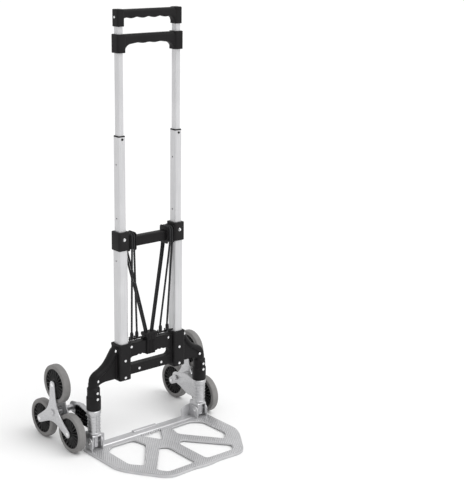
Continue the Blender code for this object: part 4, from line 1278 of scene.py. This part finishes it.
def make_cords():
    """Each cord's sleeve is braided: its surface rises where two crossing sets of strands pass over."""
    for name, side, order, hook_x in HOOKS:
        path = smooth_path(cord_route(side, order, hook_x), 0.0011)
        runs = [0.0]
        for a, b in zip(path, path[1:]):
            runs.append(runs[-1] + (b - a).length)

        def section(i):
            ring = []
            for k in range(CORD_SIDES):
                a = 2 * math.pi * k / CORD_SIDES
                turn = 2 * math.pi * runs[i] / STRAND_LENGTH
                weave = max(math.cos(4 * a + turn), math.cos(4 * a - turn))
                radius = CORD_D / 2 * (0.96 + 0.04 * weave)
                ring.append((radius * math.cos(a), radius * math.sin(a)))
            return ring

        cord = sweep(f"cord_{name}_sleeve", path, section, 80)
        uv = cord.data.uv_layers.new(name="UVMap")
        for face in cord.data.polygons:
            for corner in face.loop_indices:
                ring, k = divmod(cord.data.loops[corner].vertex_index, CORD_SIDES)
                if k == 0 and any(cord.data.loops[c].vertex_index % CORD_SIDES == CORD_SIDES - 1
                                  for c in face.loop_indices):
                    k = CORD_SIDES
                uv.data[corner].uv = (k / CORD_SIDES, runs[min(ring, len(runs) - 1)] / (math.pi * CORD_D))
        fit(cord, "base", CORD, f"cord_{name}")


# ---------------------------------------------------------------- stage

def make_floor():
    mesh = bpy.data.meshes.new("floor")
    half = 60.0
    corners = [(-half, -half, 0), (half, -half, 0), (half, half, 0), (-half, half, 0)]
    mesh.from_pydata(corners, [], [(0, 1, 2, 3)])
    floor = bpy.data.objects.new("floor", mesh)
    bpy.context.scene.collection.objects.link(floor)
    surface = Surface("floor", (0.90, 0.90, 0.90), 0.55, 0.0, Specular_IOR_Level=0.2)
    surface.tint(surface.noise(3), (0.89, 0.89, 0.89))
    mesh.materials.append(surface.material)


def make_light(name, kind, place, target, energy, size):
    data = bpy.data.lights.new(name, kind)
    data.energy = energy
    if kind == "SUN":
        data.angle = math.radians(size)
    else:
        data.shape = "DISK"
        data.size = size
    light = bpy.data.objects.new(name, data)
    bpy.context.scene.collection.objects.link(light)
    light.location = place
    light.rotation_euler = (Vector(target) - Vector(place)).to_track_quat("-Z", "Y").to_euler()


def make_world():
    world = bpy.data.worlds.new("studio")
    world.use_nodes = True
    background = world.node_tree.nodes["Background"]
    background.inputs["Color"].default_value = (1.0, 1.0, 1.0, 1.0)
    background.inputs["Strength"].default_value = 0.80
    bpy.context.scene.world = world


def make_camera():
    turn, pitch, roll = (math.radians(a) for a in (CAMERA_TURN, CAMERA_PITCH, CAMERA_ROLL))
    back = Vector((math.sin(turn) * math.cos(pitch), -math.cos(turn) * math.cos(pitch), math.sin(pitch)))
    level = Vector((math.cos(turn), math.sin(turn), 0))
    above = back.cross(level)
    right = level * math.cos(roll) + above * math.sin(roll)
    up = above * math.cos(roll) - level * math.sin(roll)
    data = bpy.data.cameras.new("camera")
    data.lens = CAMERA_LENS
    data.clip_end = 200.0
    camera = bpy.data.objects.new("camera", data)
    bpy.context.scene.collection.objects.link(camera)
    camera.matrix_world = Matrix.Translation(CAMERA_PLACE) @ Matrix((right, up, back)).transposed().to_4x4()
    bpy.context.scene.camera = camera


def make_stage():
    make_floor()
    make_world()
    make_light("key", "SUN", (1.5, -3.0, 5.0), (0, 0, 0.4), 1.6, 50)
    bpy.context.scene.view_settings.view_transform = "Standard"


make_camera()
make_stage()
make_tubes()
make_bushes()
make_buttons()
make_crossbar()
make_saddles()
make_handles()
make_housing()
make_rivets()
make_legs()
make_toe_plate()
for tag, side in SIDES:
    make_bracket(tag, side)
    make_cluster_axle(tag, side)
    make_spiders(tag, side)
make_wheels()
make_clamp()
make_hooks()
make_cords()
